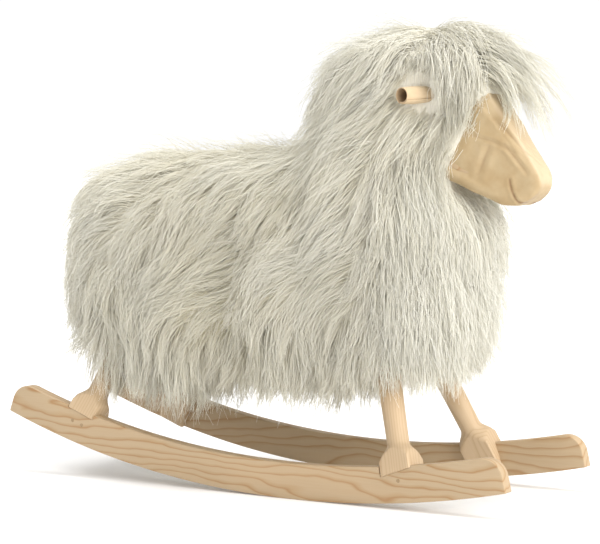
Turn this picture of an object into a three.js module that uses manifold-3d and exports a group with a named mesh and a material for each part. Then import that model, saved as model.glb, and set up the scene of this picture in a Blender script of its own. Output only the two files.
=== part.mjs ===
// A rocking sheep for a small child: four turned pine legs on two curved pine rockers,
// a board and foam body under a long-wool fleece, a leather muzzle and two rolled leather ears.
// Millimetres. +X points to the nose, +Y to the sheep's left, +Z up, and the floor is z = 0.
import * as THREE from 'three';
import { mergeVertices } from 'three/addons/utils/BufferGeometryUtils.js';
import Module from 'manifold-3d';

// ---- Driving dimensions ----
const gap = 0.3;                // between pieces that touch

const rockerLength = 780;       // end to end along the floor
const rockerRadius = 1366;      // of the rolling edge
const rockerHeight = 47;
const rockerThickness = 19;
const rockerNoseRadius = 26;    // on the upper corner of each end
const facetDegrees = 1;         // the rolling edge is cut in flats this long
const trackWidth = 265;         // over the outer faces of the two rockers
const contactX = 86;            // where the rolling edge meets the floor at rest

const frontFootX = 234;         // where each leg's axis crosses the top edge of its rocker
const rearFootX = -262;
const legSplay = 0.38;          // sideways lean, run over rise
const legRake = 0.38;           // lean along the sheep, run over rise
const ankleRadius = 14.5;
const thighRadius = 17.3;
const footLength = 45;          // square foot, along the rocker
const footWidth = 39;           // square foot, across
const footRise = 11;            // square part above the rocker
const shoulderRise = 17;        // from the square to the round
const cheekDrop = 42;           // how far the foot reaches down the rocker's inner face
const lapDepth = 1.5;           // least depth of the notch for the foot, at the outer face
const dowelRadius = 3;
const dowelDepth = 12;          // into the cheek
const dowelDrop = 20;           // below the rocker's top edge, along the leg
const frontDowels = [0];        // offsets along the foot
const rearDowels = [-8.5, 8.5];

const boardBottom = 285;
const boardThickness = 18;
const boardRearX = -275;
const boardFrontX = 205;
const boardWidth = 124;
const boardCorner = 30;
const bolsterLength = 80;       // along the sheep
const bolsterThickness = 46;
const bolsterMargin = 34;       // wood outside each leg's axis
const socketTop = 267;          // where a leg ends inside its bolster
const legScrewTop = 279;        // where the heads of the leg screws sit, on the leg's axis
const screwRadius = 2.2;
const screwHeadRadius = 4.5;
const screwHeadHeight = 2.6;
const seatScrewSpread = 25;     // either side of the bolster's middle
const seatScrewLength = 44;
const counterbore = 6;          // room cut above a screw's head
const legScrewLength = 36;

const postSize = 42;            // square section of the neck post
const postFootX = 84;
const postTopX = 208;
const postTopZ = 496;
const neckBoltSpread = 10;
const neckBoltLength = 60;
const neckBoltSink = 4;         // head below the board's underside

const headWidth = 92;           // across the skull
const noseWidth = 47;           // across the nose
const headRound = 17;           // rounding of the head's long edges
const skullEndX = 210;          // the head narrows from here
const noseTipX = 380;           // to here
const headStart = [182, 540];   // the head from the side, in x and z
const headRuns = [              // bends have a control point and an end, straight runs an end only
  [200, 584, 246, 580],
  [286, 574, 305, 536],
  [376, 429],
  [386, 412, 372, 398],
  [354, 383, 330, 387],
  [262, 418],
  [222, 432, 196, 466],
  [172, 500, 182, 540],
];
const leather = 2;
const coverRearX = 232;         // the leather reaches back to here
const headScrewLength = 56;
const headScrewHeads = [[194, 482], [186, 502]];

const earRadius = 12.5;
const earWall = 2.5;
const earLength = 55;
const earRootX = 246;
const earRootInset = 5.5;       // inside the head's widest part
const earRootZ = 528;
const earSweep = [-0.46, 0.885, -0.065];
const earStart = 12;            // the roll starts this far from its root
const earHeel = 10;             // closed part of the roll

const padHeight = 100;          // foam above the board
const padRearX = -300;
const padFrontX = 205;
const padWidth = 190;
const neckPadRadius = 54;
const neckPadTopZ = 452;
const clothThickness = 2;
const clothWidth = 136;

const fleeceRearX = -334;
const fleeceFrontX = 222;
const fleeceOverhang = 23.5;    // beyond the outer face of each rocker
const backZ = 463;
const fringeZ = 94;
const chestFringeZ = 132;
const chestFrontX = 303;
const chestTuck = 6;            // the chest is this much narrower than the body on each side
const crownX = 228;
const crownZ = 626;
const headWool = 32;            // wool on each side of the skull
const bodySeamX = 40;
const headSeamZ = 470;

// ---- Fineness and room ----
const legSides = 32;
const holeSides = 24;
const screwSides = 16;
const fleeceSides = 36;
const legRoom = 2;              // between a leg and the wool
const shaftOverlap = 8;         // of the foot and the shaft
const far = 1000;               // reaches beyond the whole sheep

// ---- Worked out from them ----
const fleeceWidth = trackWidth + 2 * fleeceOverhang;
const chestWidth = fleeceWidth - 2 * chestTuck;
const headFleeceWidth = headWidth + 2 * headWool;
const earRootY = headWidth / 2 - earRootInset;
const outerFaceY = trackWidth / 2;
const innerFaceY = outerFaceY - rockerThickness;
const topEdgeRadius = rockerRadius - rockerHeight;
const boardTop = boardBottom + boardThickness;
const bolsterBottom = boardBottom - gap - bolsterThickness;
const fleece = { body: 0xe9e6d8, neck: 0xece9dc, head: 0xefecdf };
const pine = 0xe3cda6;
const darkPine = 0xcbb083;
const steel = 0x9a9a98;

const wasm = await Module();
wasm.setup();

// ---- Solids ----
function solid(geometry, matrix) {
  const bare = geometry.clone();
  bare.deleteAttribute('normal');
  bare.deleteAttribute('uv');
  if (matrix) bare.applyMatrix4(matrix);
  const merged = mergeVertices(bare, 1e-4);
  return new wasm.Manifold(new wasm.Mesh({
    numProp: 3,
    vertProperties: new Float32Array(merged.attributes.position.array),
    triVerts: new Uint32Array(merged.index.array),
  }));
}

function geometryOf(shape) {
  const mesh = shape.getMesh();
  const geometry = new THREE.BufferGeometry();
  const points = new THREE.BufferAttribute(new Float32Array(mesh.vertProperties), 3);
  geometry.setAttribute('position', points);
  geometry.setIndex(new THREE.BufferAttribute(new Uint32Array(mesh.triVerts), 1));
  return geometry;
}

/** A box between two corners. */
function block(low, high) {
  const size = high.map((value, axis) => value - low[axis]);
  const centre = high.map((value, axis) => (value + low[axis]) / 2);
  return solid(new THREE.BoxGeometry(...size), new THREE.Matrix4().makeTranslation(...centre));
}

/** A turned solid about its own Z axis, from [radius, height] pairs that start and end on the axis. */
function turned(profile, segments, matrix) {
  const points = profile.map(([radius, height]) => new THREE.Vector2(radius, height));
  const upright = new THREE.LatheGeometry(points, segments).rotateX(Math.PI / 2);
  return solid(upright, matrix);
}

function rod(radius, from, to, segments, matrix) {
  return turned([[0, from], [radius, from], [radius, to], [0, to]], segments, matrix);
}

/** The frame of something standing at a point: its own Z along a direction, its own Y level. */
function standing(point, direction) {
  const up = new THREE.Vector3(...direction).normalize();
  const forward = new THREE.Vector3(0, 1, 0).cross(up).normalize();
  const side = new THREE.Vector3().crossVectors(up, forward);
  return new THREE.Matrix4().makeBasis(forward, side, up).setPosition(...point);
}

/** A frame at a point whose own Z runs along Y, to the left (1) or to the right (-1). */
function across(point, side) {
  return new THREE.Matrix4().makeRotationX(-side * Math.PI / 2).setPosition(...point);
}

/** A closed body through sections, each with its place along the body, its two edges and its width. */
function throughSections(sections, sides, upright, squareness = 2) {
  const geometry = new THREE.SphereGeometry(1, sides, sections.length - 1);
  const position = geometry.attributes.position;
  const bulge = (value) => Math.sign(value) * Math.abs(value) ** (2 / squareness);
  for (let i = 0; i < position.count; i++) {
    const section = sections[sections.length - 1 - Math.floor(i / (sides + 1))];
    const angle = (i % (sides + 1)) / sides * 2 * Math.PI;
    const middle = (section.low + section.high) / 2;
    const reach = (section.high - section.low) / 2;
    if (upright) {
      const x = middle + reach * bulge(Math.sin(angle));
      position.setXYZ(i, x, -section.width / 2 * bulge(Math.cos(angle)), section.at);
    } else {
      const z = middle - reach * bulge(Math.cos(angle));
      position.setXYZ(i, section.at, section.width / 2 * bulge(Math.sin(angle)), z);
    }
  }
  return solid(geometry);
}

/** Sections of a long round-ended barrel between two places, from low to high. */
function barrelSections({ rear, front, low, high, width, squareness, count }) {
  return Array.from({ length: count + 1 }, (_, i) => {
    const along = -Math.cos(Math.PI * i / count);
    const fullness = (1 - Math.abs(along) ** squareness) ** (1 / squareness);
    const middle = (low + high) / 2;
    const reach = (high - low) / 2 * fullness;
    return {
      at: (rear + front) / 2 + (front - rear) / 2 * along,
      low: middle - reach,
      high: middle + reach,
      width: width * fullness,
    };
  });
}

// ---- Rockers ----
function topEdgeZ(x) {
  return rockerRadius - Math.sqrt(topEdgeRadius ** 2 - (x - contactX) ** 2);
}

function rockerOutline() {
  const facet = THREE.MathUtils.degToRad(facetDegrees);
  const flatRadius = rockerRadius / Math.cos(facet / 2);
  const frontAngle = Math.asin((rockerLength / 2 - contactX) / rockerRadius);
  const rearAngle = Math.asin((-rockerLength / 2 - contactX) / rockerRadius);
  const at = (angle, radius) => new THREE.Vector2(
    contactX + radius * Math.sin(angle), rockerRadius - radius * Math.cos(angle));
  const points = [at(rearAngle, rockerRadius)];
  const first = Math.ceil(rearAngle / facet + 0.5);
  const last = Math.floor(frontAngle / facet - 0.5);
  for (let i = first; i <= last; i++) {
    points.push(at((i + 0.5) * facet, flatRadius));
  }
  points.push(at(frontAngle, rockerRadius));
  const noseSteps = 5;
  const noseAngle = rockerNoseRadius / topEdgeRadius;
  const nose = (angle, inward, share) => {
    const turn = share * Math.PI / 2;
    return at(angle - inward * noseAngle * (1 - Math.cos(turn)),
      topEdgeRadius + rockerNoseRadius * (1 - Math.sin(turn)));
  };
  for (let i = 0; i <= noseSteps; i++) points.push(nose(frontAngle, 1, i / noseSteps));
  for (let i = last; i >= first; i -= 2) {
    const angle = i * facet;
    const inside = angle < frontAngle - noseAngle && angle > rearAngle + noseAngle;
    if (inside) points.push(at(angle, topEdgeRadius));
  }
  for (let i = noseSteps; i >= 0; i--) points.push(nose(rearAngle, -1, i / noseSteps));
  return new THREE.Shape(points);
}

function rockerBlank(side) {
  const flat = new THREE.ExtrudeGeometry(rockerOutline(), { depth: rockerThickness, bevelEnabled: false });
  flat.rotateX(Math.PI / 2);
  const y = side > 0 ? outerFaceY : -innerFaceY;
  return solid(flat, new THREE.Matrix4().makeTranslation(0, y, 0));
}

// ---- Legs ----
/** Where a leg stands, how it leans, and the depth of its notch at the axis. */
function legPlan(front, side) {
  const footX = front ? frontFootX : rearFootX;
  const rake = front ? -legRake : legRake;
  const edgeSlope = Math.asin((footX - contactX) / topEdgeRadius);
  const footTilt = -Math.atan(rake);
  const splayAngle = Math.atan(legSplay * Math.cos(Math.atan(legRake)));
  const y = outerFaceY - footWidth / 2 / Math.cos(splayAngle);
  const point = [footX, side * y, topEdgeZ(footX)];
  const direction = [rake, -side * legSplay, 1];
  return {
    front, side, point, direction,
    frame: standing(point, direction),
    notch: lapDepth + footLength / 2 * Math.abs(Math.tan(footTilt - edgeSlope))
      + footWidth / 2 * Math.tan(splayAngle),
    length: (socketTop - point[2]) * Math.hypot(...direction),
  };
}

function axisPoint(leg, z) {
  const rise = z - leg.point[2];
  return leg.point.map((value, axis) => value + leg.direction[axis] * rise);
}

function legSolid(leg) {
  const shoulder = footRise + shoulderRise;
  const shaft = turned([
    [0, 0], [ankleRadius, 0], [ankleRadius, shoulder + shaftOverlap],
    [(ankleRadius + thighRadius) / 2, leg.length * 0.55], [thighRadius, leg.length * 0.8],
    [thighRadius, leg.length], [0, leg.length],
  ], legSides, leg.frame);
  const corner = Math.hypot(footLength, footWidth) / 2;
  const easeStart = footRise - 6;
  const turning = [[0, -cheekDrop - 1], [corner + 1, -cheekDrop - 1], [corner + 1, easeStart - 2]];
  const shoulderSteps = 6;
  for (let i = 0; i <= shoulderSteps; i++) {
    const share = i / shoulderSteps;
    const ease = (1 - Math.cos(Math.PI * share)) / 2;
    const radius = THREE.MathUtils.lerp(corner - 3, ankleRadius, ease);
    turning.push([radius, THREE.MathUtils.lerp(easeStart, shoulder, share)]);
  }
  turning.push([0, shoulder]);
  const square = solid(
    new THREE.BoxGeometry(footLength, footWidth, cheekDrop + shoulder)
      .translate(0, 0, (shoulder - cheekDrop) / 2), leg.frame);
  const foot = square.intersect(turned(turning, legSides, leg.frame));
  const belowNotch = solid(
    new THREE.BoxGeometry(4 * footLength, 4 * footWidth, 4 * cheekDrop)
      .translate(0, 0, -leg.notch - 2 * cheekDrop), leg.frame);
  const rockerSpace = leg.side > 0
    ? block([-rockerLength, innerFaceY - gap, -footLength], [rockerLength, trackWidth, boardBottom])
    : block([-rockerLength, -trackWidth, -footLength], [rockerLength, -innerFaceY + gap, boardBottom]);
  return foot.add(shaft).subtract(belowNotch.intersect(rockerSpace));
}

function notchTool(leg) {
  const depth = leg.notch + gap;
  return solid(
    new THREE.BoxGeometry(footLength + 2 * gap, 4 * footWidth, 4 * depth)
      .translate(0, 0, depth), leg.frame);
}

function legHole(leg, clearance) {
  return rod(thighRadius + clearance, 0, leg.length + clearance, holeSides, leg.frame);
}

/** The room that a leg and its square foot need in the fleece. */
function legPassage(leg) {
  const corner = Math.hypot(footLength, footWidth) / 2 + legRoom;
  const shoulder = footRise + shoulderRise + 2 * legRoom;
  const wide = thighRadius + legRoom;
  return turned([
    [0, 0], [corner, 0], [corner, footRise], [wide, shoulder],
    [wide, leg.length + legRoom], [0, leg.length + legRoom],
  ], holeSides, leg.frame);
}

/** A dowel driven through the rocker's outer face into the foot's cheek. */
function dowel(leg, offset, clearance) {
  const seat = new THREE.Vector3(offset, 0, -dowelDrop).applyMatrix4(leg.frame);
  const frame = across([seat.x, leg.side * outerFaceY, seat.z], -leg.side);
  const start = clearance ? -1 : gap;
  return rod(dowelRadius + clearance, start, rockerThickness + dowelDepth + clearance, screwSides, frame);
}

// ---- Fasteners ----
/** A countersunk wood screw that points along its frame's -Z, with its head's top at the frame's point. */
function screw(length, clearance, frame) {
  const above = clearance ? counterbore : 0;
  return turned([
    [0, -length - clearance], [screwRadius + clearance, -length - clearance],
    [screwRadius + clearance, -screwHeadHeight - clearance], [screwHeadRadius + clearance, -clearance / 2],
    [screwHeadRadius + clearance, above], [0, above],
  ], screwSides, frame);
}

// ---- Inner frame ----
/** The block that the two legs at one end are socketed into. */
function bolsterBox(leg, grow = 0) {
  const middle = axisPoint(leg, (bolsterBottom + boardBottom) / 2);
  const halfWidth = Math.abs(middle[1]) + bolsterMargin + grow;
  const halfLength = bolsterLength / 2 + grow;
  return block(
    [middle[0] - halfLength, -halfWidth, bolsterBottom - grow],
    [middle[0] + halfLength, halfWidth, boardBottom - gap + grow]);
}

function boardBlank() {
  const halfWidth = boardWidth / 2;
  const outline = new THREE.Shape();
  const corners = [
    [boardFrontX - boardCorner, halfWidth - boardCorner, 0],
    [boardRearX + boardCorner, halfWidth - boardCorner, 1],
    [boardRearX + boardCorner, -halfWidth + boardCorner, 2],
    [boardFrontX - boardCorner, -halfWidth + boardCorner, 3],
  ];
  for (const [x, y, quarter] of corners) {
    outline.absarc(x, y, boardCorner, quarter * Math.PI / 2, (quarter + 1) * Math.PI / 2, false);
  }
  const flat = new THREE.ExtrudeGeometry(outline, {
    depth: boardThickness, bevelEnabled: false, curveSegments: 6,
  });
  return solid(flat, new THREE.Matrix4().makeTranslation(0, 0, boardBottom));
}

const postDirection = [postTopX - postFootX, 0, postTopZ - boardTop];
const postLength = Math.hypot(...postDirection);

function postBlank(grow) {
  const leaning = solid(
    new THREE.BoxGeometry(postSize + 2 * grow, postSize + 2 * grow, postLength + 2 * postSize)
      .translate(0, 0, postLength / 2),
    standing([postFootX, 0, boardTop], postDirection));
  const reach = block([-far, -far, boardTop + gap], [far, far, postTopZ + grow]);
  return leaning.intersect(reach);
}

// ---- Head ----
/** The head from the side, grown all round; its width falls from the skull to the nose. */
function headShape(grow) {
  const outline = new THREE.Shape();
  outline.moveTo(...headStart);
  for (const run of headRuns) {
    if (run.length === 2) outline.lineTo(...run);
    else outline.quadraticCurveTo(...run);
  }
  const core = headWidth - 2 * headRound;
  const geometry = new THREE.ExtrudeGeometry(outline, {
    depth: core, curveSegments: 5, bevelSegments: 4,
    bevelThickness: headRound + grow, bevelSize: headRound, bevelOffset: grow - headRound,
  });
  geometry.translate(0, 0, -core / 2).rotateX(Math.PI / 2);
  const position = geometry.attributes.position;
  for (let i = 0; i < position.count; i++) {
    const towardsNose = THREE.MathUtils.smoothstep(position.getX(i), skullEndX, noseTipX);
    position.setY(i, position.getY(i) * THREE.MathUtils.lerp(1, noseWidth / headWidth, towardsNose));
  }
  return solid(geometry);
}

function coverSolid() {
  const behind = block([-far, -far, -far], [coverRearX, far, far]);
  return headShape(gap + leather).subtract(headShape(gap)).subtract(behind);
}

function earFrame(side) {
  const [along, out, up] = earSweep;
  return standing([earRootX, side * earRootY, earRootZ], [along, side * out, up]);
}

/** A rolled ear: closed at the heel, widest at two thirds, open at its end. */
function earSolid(side) {
  const inner = earRadius - earWall;
  const widest = earLength * 0.7;
  const closed = earStart + earHeel;
  return turned([
    [0, earStart], [earRadius * 0.8, earStart], [earRadius * 0.95, closed],
    [earRadius, widest], [earRadius * 0.9, earLength],
    [inner * 0.88, earLength], [inner, widest], [inner * 0.9, closed], [0, closed],
  ], holeSides, earFrame(side));
}

function earHole(side) {
  return rod(earRadius + 1, 0, far, holeSides, earFrame(side));
}

// ---- Foam and cloth ----
function bodyPadShape(grow) {
  return throughSections(barrelSections({
    rear: padRearX - grow, front: padFrontX + grow,
    low: boardTop - padHeight - grow, high: boardTop + padHeight + grow,
    width: padWidth + 2 * grow, squareness: 3, count: 14,
  }), holeSides, false, 2.4);
}

function neckPadShape(grow) {
  const frame = standing([postFootX, 0, boardTop], postDirection);
  const radius = neckPadRadius + grow;
  const rounded = rod(radius, -neckPadRadius, postLength + neckPadRadius, holeSides, frame);
  return rounded.intersect(block([-far, -far, boardTop + gap], [far, far, neckPadTopZ + grow]));
}

function clothShape(grow, legs) {
  const front = axisPoint(legs[0], bolsterBottom)[0] + bolsterLength / 2;
  const rear = axisPoint(legs[2], bolsterBottom)[0] - bolsterLength / 2;
  return block(
    [rear - grow, -clothWidth / 2 - grow, bolsterBottom - gap - clothThickness - grow],
    [front + grow, clothWidth / 2 + grow, bolsterBottom - gap + grow]);
}

// ---- Fleece ----
function bodyFleeceShape() {
  return throughSections(barrelSections({
    rear: fleeceRearX, front: fleeceFrontX, low: fringeZ, high: backZ,
    width: fleeceWidth, squareness: 3.2, count: 18,
  }), fleeceSides, false, 2.5);
}

/** Chest, neck and crown: level sections from the chest fringe up to the top of the head. */
function neckFleeceShape() {
  const chest = chestWidth;
  const head = headFleeceWidth;
  const front = chestFrontX;
  return throughSections([
    { at: chestFringeZ, low: 190, high: 190, width: 0 },
    { at: chestFringeZ + 9, low: 110, high: front - 66, width: chest * 0.56 },
    { at: chestFringeZ + 34, low: 70, high: front - 16, width: chest * 0.84 },
    { at: 240, low: 44, high: front - 5, width: chest * 0.97 },
    { at: 330, low: 30, high: front, width: chest },
    { at: 372, low: 30, high: front - 2, width: chest * 0.97 },
    { at: 398, low: 30, high: front - 22, width: chest * 0.92 },
    { at: 425, low: 32, high: front - 38, width: chest * 0.85 },
    { at: 465, low: 38, high: front - 32, width: head * 1.45 },
    { at: 505, low: 50, high: front - 12, width: head * 1.2 },
    { at: 545, low: 70, high: front + 6, width: head },
    { at: 580, low: 96, high: front + 3, width: head * 0.84 },
    { at: 608, low: 138, high: front - 20, width: head * 0.6 },
    { at: crownZ - 3, low: 190, high: crownX + 30, width: head * 0.25 },
    { at: crownZ, low: crownX, high: crownX, width: 0 },
  ], fleeceSides, true, 2.1);
}

function fleeceParts(legs) {
  const whole = bodyFleeceShape().add(neckFleeceShape());
  let inside = bodyPadShape(2 * gap).add(neckPadShape(2 * gap)).add(postBlank(2 * gap));
  inside = inside.add(headShape(leather + 3 * gap)).add(clothShape(gap, legs));
  inside = inside.add(block([boardRearX - gap, -padWidth / 2, bolsterBottom - gap],
    [boardFrontX + gap, padWidth / 2, boardTop + 2 * gap]));
  for (const leg of legs) inside = inside.add(legPassage(leg)).add(bolsterBox(leg, gap));
  for (const side of [1, -1]) inside = inside.add(earHole(side));
  const shell = whole.subtract(inside);
  return {
    body_fleece: shell.intersect(block([-far, -far, -far], [bodySeamX - gap / 2, far, far])),
    neck_fleece: shell.intersect(block([bodySeamX + gap / 2, -far, -far], [far, far, headSeamZ - gap / 2])),
    head_fleece: shell.intersect(block([bodySeamX + gap / 2, -far, headSeamZ + gap / 2], [far, far, far])),
  };
}

// ---- The sheep ----
const sheep = new THREE.Group();
const looks = {
  pine: { color: pine, roughness: 0.6, metalness: 0 },
  darkPine: { color: darkPine, roughness: 0.7, metalness: 0 },
  steel: { color: steel, roughness: 0.35, metalness: 0.9 },
  leather: { color: 0xdfbf92, roughness: 0.55, metalness: 0 },
  foam: { color: 0xd9cf9f, roughness: 0.9, metalness: 0 },
  cloth: { color: 0xcfc6b0, roughness: 0.9, metalness: 0 },
  bodyWool: { color: fleece.body, roughness: 0.95, metalness: 0 },
  neckWool: { color: fleece.neck, roughness: 0.95, metalness: 0 },
  headWool: { color: fleece.head, roughness: 0.95, metalness: 0 },
};

function addPiece(name, shape, look) {
  const mesh = new THREE.Mesh(geometryOf(shape), new THREE.MeshStandardMaterial(looks[look]));
  mesh.name = name;
  sheep.add(mesh);
}

const legs = [[true, 1], [true, -1], [false, 1], [false, -1]].map(([front, side]) => legPlan(front, side));
const sideName = (side) => (side > 0 ? 'left' : 'right');
const endName = (leg) => (leg.front ? 'front' : 'rear');
const dowelOffsets = (leg) => (leg.front ? frontDowels : rearDowels);

for (const side of [1, -1]) {
  let rocker = rockerBlank(side);
  for (const leg of legs.filter((one) => one.side === side)) {
    rocker = rocker.subtract(notchTool(leg));
    for (const offset of dowelOffsets(leg)) rocker = rocker.subtract(dowel(leg, offset, gap));
  }
  addPiece(`rocker_${sideName(side)}`, rocker, 'pine');
}

for (const leg of legs) {
  const name = `${endName(leg)}_${sideName(leg.side)}`;
  const screwFrame = standing(axisPoint(leg, legScrewTop), leg.direction);
  let wood = legSolid(leg).subtract(screw(legScrewLength, gap, screwFrame));
  dowelOffsets(leg).forEach((offset, i) => {
    wood = wood.subtract(dowel(leg, offset, gap));
    addPiece(`dowel_${name}_${i + 1}`, dowel(leg, offset, 0), 'darkPine');
  });
  addPiece(`leg_${name}`, wood, 'pine');
  addPiece(`leg_screw_${name}`, screw(legScrewLength, 0, screwFrame), 'steel');
}

let board = boardBlank();
for (const front of [true, false]) {
  const pair = legs.filter((leg) => leg.front === front);
  const middleX = axisPoint(pair[0], (bolsterBottom + boardBottom) / 2)[0];
  let bolster = bolsterBox(pair[0]);
  for (const leg of pair) {
    const screwFrame = standing(axisPoint(leg, legScrewTop), leg.direction);
    bolster = bolster.subtract(legHole(leg, gap)).subtract(screw(legScrewLength, gap, screwFrame));
  }
  [-seatScrewSpread, seatScrewSpread].forEach((offset, i) => {
    const screwFrame = new THREE.Matrix4().makeTranslation(middleX + offset, 0, boardTop - gap);
    bolster = bolster.subtract(screw(seatScrewLength, gap, screwFrame));
    board = board.subtract(screw(seatScrewLength, gap, screwFrame));
    addPiece(`seat_screw_${endName(pair[0])}_${i + 1}`, screw(seatScrewLength, 0, screwFrame), 'steel');
  });
  addPiece(`${endName(pair[0])}_bolster`, bolster, 'darkPine');
}

let post = postBlank(0);
[-neckBoltSpread, neckBoltSpread].forEach((offset, i) => {
  const slope = (postTopX - postFootX) / (postTopZ - boardTop);
  const boltX = postFootX + offset - slope * (boardThickness - neckBoltSink);
  const frame = standing([boltX, 0, boardBottom + neckBoltSink], postDirection.map((value) => -value));
  board = board.subtract(screw(neckBoltLength, gap, frame));
  post = post.subtract(screw(neckBoltLength, gap, frame));
  addPiece(`neck_bolt_${i + 1}`, screw(neckBoltLength, 0, frame), 'steel');
});

let headBlock = headShape(0).subtract(postBlank(gap));
headScrewHeads.forEach(([x, z], i) => {
  const frame = new THREE.Matrix4().makeRotationY(-Math.PI / 2).setPosition(x, 0, z);
  headBlock = headBlock.subtract(screw(headScrewLength, gap, frame));
  post = post.subtract(screw(headScrewLength, gap, frame));
  addPiece(`head_screw_${i + 1}`, screw(headScrewLength, 0, frame), 'steel');
});

addPiece('seat_board', board, 'darkPine');
addPiece('neck_post', post, 'darkPine');
addPiece('head_block', headBlock, 'darkPine');
addPiece('muzzle_cover', coverSolid(), 'leather');
for (const side of [1, -1]) addPiece(`ear_${sideName(side)}`, earSolid(side), 'leather');

const overBoard = block([-far, -far, boardTop + gap], [far, far, far]);
const head = headShape(leather + 2 * gap);
const neckPad = neckPadShape(0).subtract(postBlank(gap)).subtract(head);
const bodyPad = bodyPadShape(0).intersect(overBoard).subtract(neckPadShape(gap)).subtract(head);
addPiece('neck_pad', neckPad, 'foam');
addPiece('body_pad', bodyPad, 'foam');

let cloth = clothShape(0, legs);
for (const leg of legs) cloth = cloth.subtract(legHole(leg, 1));
addPiece('belly_cloth', cloth, 'cloth');

for (const [name, shape] of Object.entries(fleeceParts(legs))) {
  addPiece(name, shape, name.replace('_fleece', 'Wool'));
}

export default sheep;
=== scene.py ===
import math
from contextlib import contextmanager
import bmesh
import bpy
import numpy as np
from mathutils import Matrix, Vector, noise
from mathutils.bvhtree import BVHTree


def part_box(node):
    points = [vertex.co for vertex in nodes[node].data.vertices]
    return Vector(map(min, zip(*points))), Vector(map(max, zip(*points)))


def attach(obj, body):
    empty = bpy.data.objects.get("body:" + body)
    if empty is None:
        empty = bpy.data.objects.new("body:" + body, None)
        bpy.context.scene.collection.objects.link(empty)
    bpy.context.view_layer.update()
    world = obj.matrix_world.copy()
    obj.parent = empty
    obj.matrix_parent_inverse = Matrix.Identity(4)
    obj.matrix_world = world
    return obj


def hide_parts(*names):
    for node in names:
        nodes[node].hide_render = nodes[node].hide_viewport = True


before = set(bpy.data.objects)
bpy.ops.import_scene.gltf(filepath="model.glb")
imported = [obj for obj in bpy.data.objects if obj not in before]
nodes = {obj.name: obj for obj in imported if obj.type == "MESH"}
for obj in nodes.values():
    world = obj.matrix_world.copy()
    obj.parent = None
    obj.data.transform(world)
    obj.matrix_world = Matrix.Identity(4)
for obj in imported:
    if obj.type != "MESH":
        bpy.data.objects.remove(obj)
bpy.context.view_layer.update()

scene = bpy.context.scene
up = Vector((0, 0, 1))


def along(a, b, share):
    return a + (b - a) * share


def smooth(low, high, value):
    t = np.clip((value - low) / (high - low), 0, 1)
    return t * t * (3 - 2 * t)


def newPiece(name, verts, faces, material=None, edges=()):
    mesh = bpy.data.meshes.new(name)
    mesh.from_pydata([tuple(v) for v in verts], list(edges), faces)
    mesh.update()
    obj = bpy.data.objects.new(name, mesh)
    scene.collection.objects.link(obj)
    if material:
        mesh.materials.append(material)
    return obj


def closedRings(count, rows):
    # walls between rows of points, each row a closed ring
    return [(j * count + i, j * count + (i + 1) % count,
             (j + 1) * count + (i + 1) % count, (j + 1) * count + i)
            for j in range(rows - 1) for i in range(count)]


def modify(obj, name, kind, **settings):
    modifier = obj.modifiers.new(name, kind)
    for key, value in settings.items():
        setattr(modifier, key, value)
    return modifier


def bake(obj):
    # turns the modifiers into plain mesh
    deps = bpy.context.evaluated_depsgraph_get()
    mesh = bpy.data.meshes.new_from_object(obj.evaluated_get(deps))
    old = obj.data
    obj.modifiers.clear()
    obj.data = mesh
    bpy.data.meshes.remove(old)
    mesh.name = obj.name
    return obj


def shadeSmooth(obj, angle=None):
    obj.data.polygons.foreach_set("use_smooth", [True] * len(obj.data.polygons))
    if angle is not None:
        obj.data.set_sharp_from_angle(angle=math.radians(angle))
    return obj


def clad(obj, material):
    obj.data.materials.clear()
    obj.data.materials.append(material)
    return obj


def dress(obj, material, angle=None):
    return shadeSmooth(clad(obj, material), angle)


def declare(obj, stands):
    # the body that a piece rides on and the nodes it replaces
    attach(obj, "root")
    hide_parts(*stands)


def paint(mesh, name, values, kind="FLOAT"):
    # one value a point, read by a material or by Geometry Nodes
    layer = mesh.attributes.new(name, kind, "POINT")
    layer.data.foreach_set("value" if kind == "FLOAT" else "vector", np.array(values).ravel())


@contextmanager
def editing(obj):
    bm = bmesh.new()
    bm.from_mesh(obj.data)
    yield bm
    bm.to_mesh(obj.data)
    bm.free()


def outward(obj):
    with editing(obj) as bm:
        bmesh.ops.remove_doubles(bm, verts=bm.verts, dist=1e-6)
        bmesh.ops.recalc_face_normals(bm, faces=bm.faces)
    return obj


def cut(obj, tool, operation="DIFFERENCE"):
    modify(obj, "cut", "BOOLEAN", operation=operation, solver="EXACT", object=tool)
    bake(obj)
    bpy.data.objects.remove(tool)
    return obj


def remeshed(obj, voxel, rounds=6, factor=0.5):
    modify(obj, "skin", "REMESH", mode="VOXEL", voxel_size=voxel)
    modify(obj, "ease", "SMOOTH", iterations=rounds, factor=factor)
    return bake(obj)


def fill(tree, node, inputs):
    # each input gets a number, a colour or a link
    for socket, value in inputs.items():
        if isinstance(value, bpy.types.NodeSocket):
            tree.links.new(value, node.inputs[socket])
        else:
            node.inputs[socket].default_value = value
    return node


def addNode(tree, kind, inputs=None, **settings):
    node = tree.nodes.new(kind)
    for key, value in settings.items():
        setattr(node, key, value)
    return fill(tree, node, inputs or {})


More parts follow.
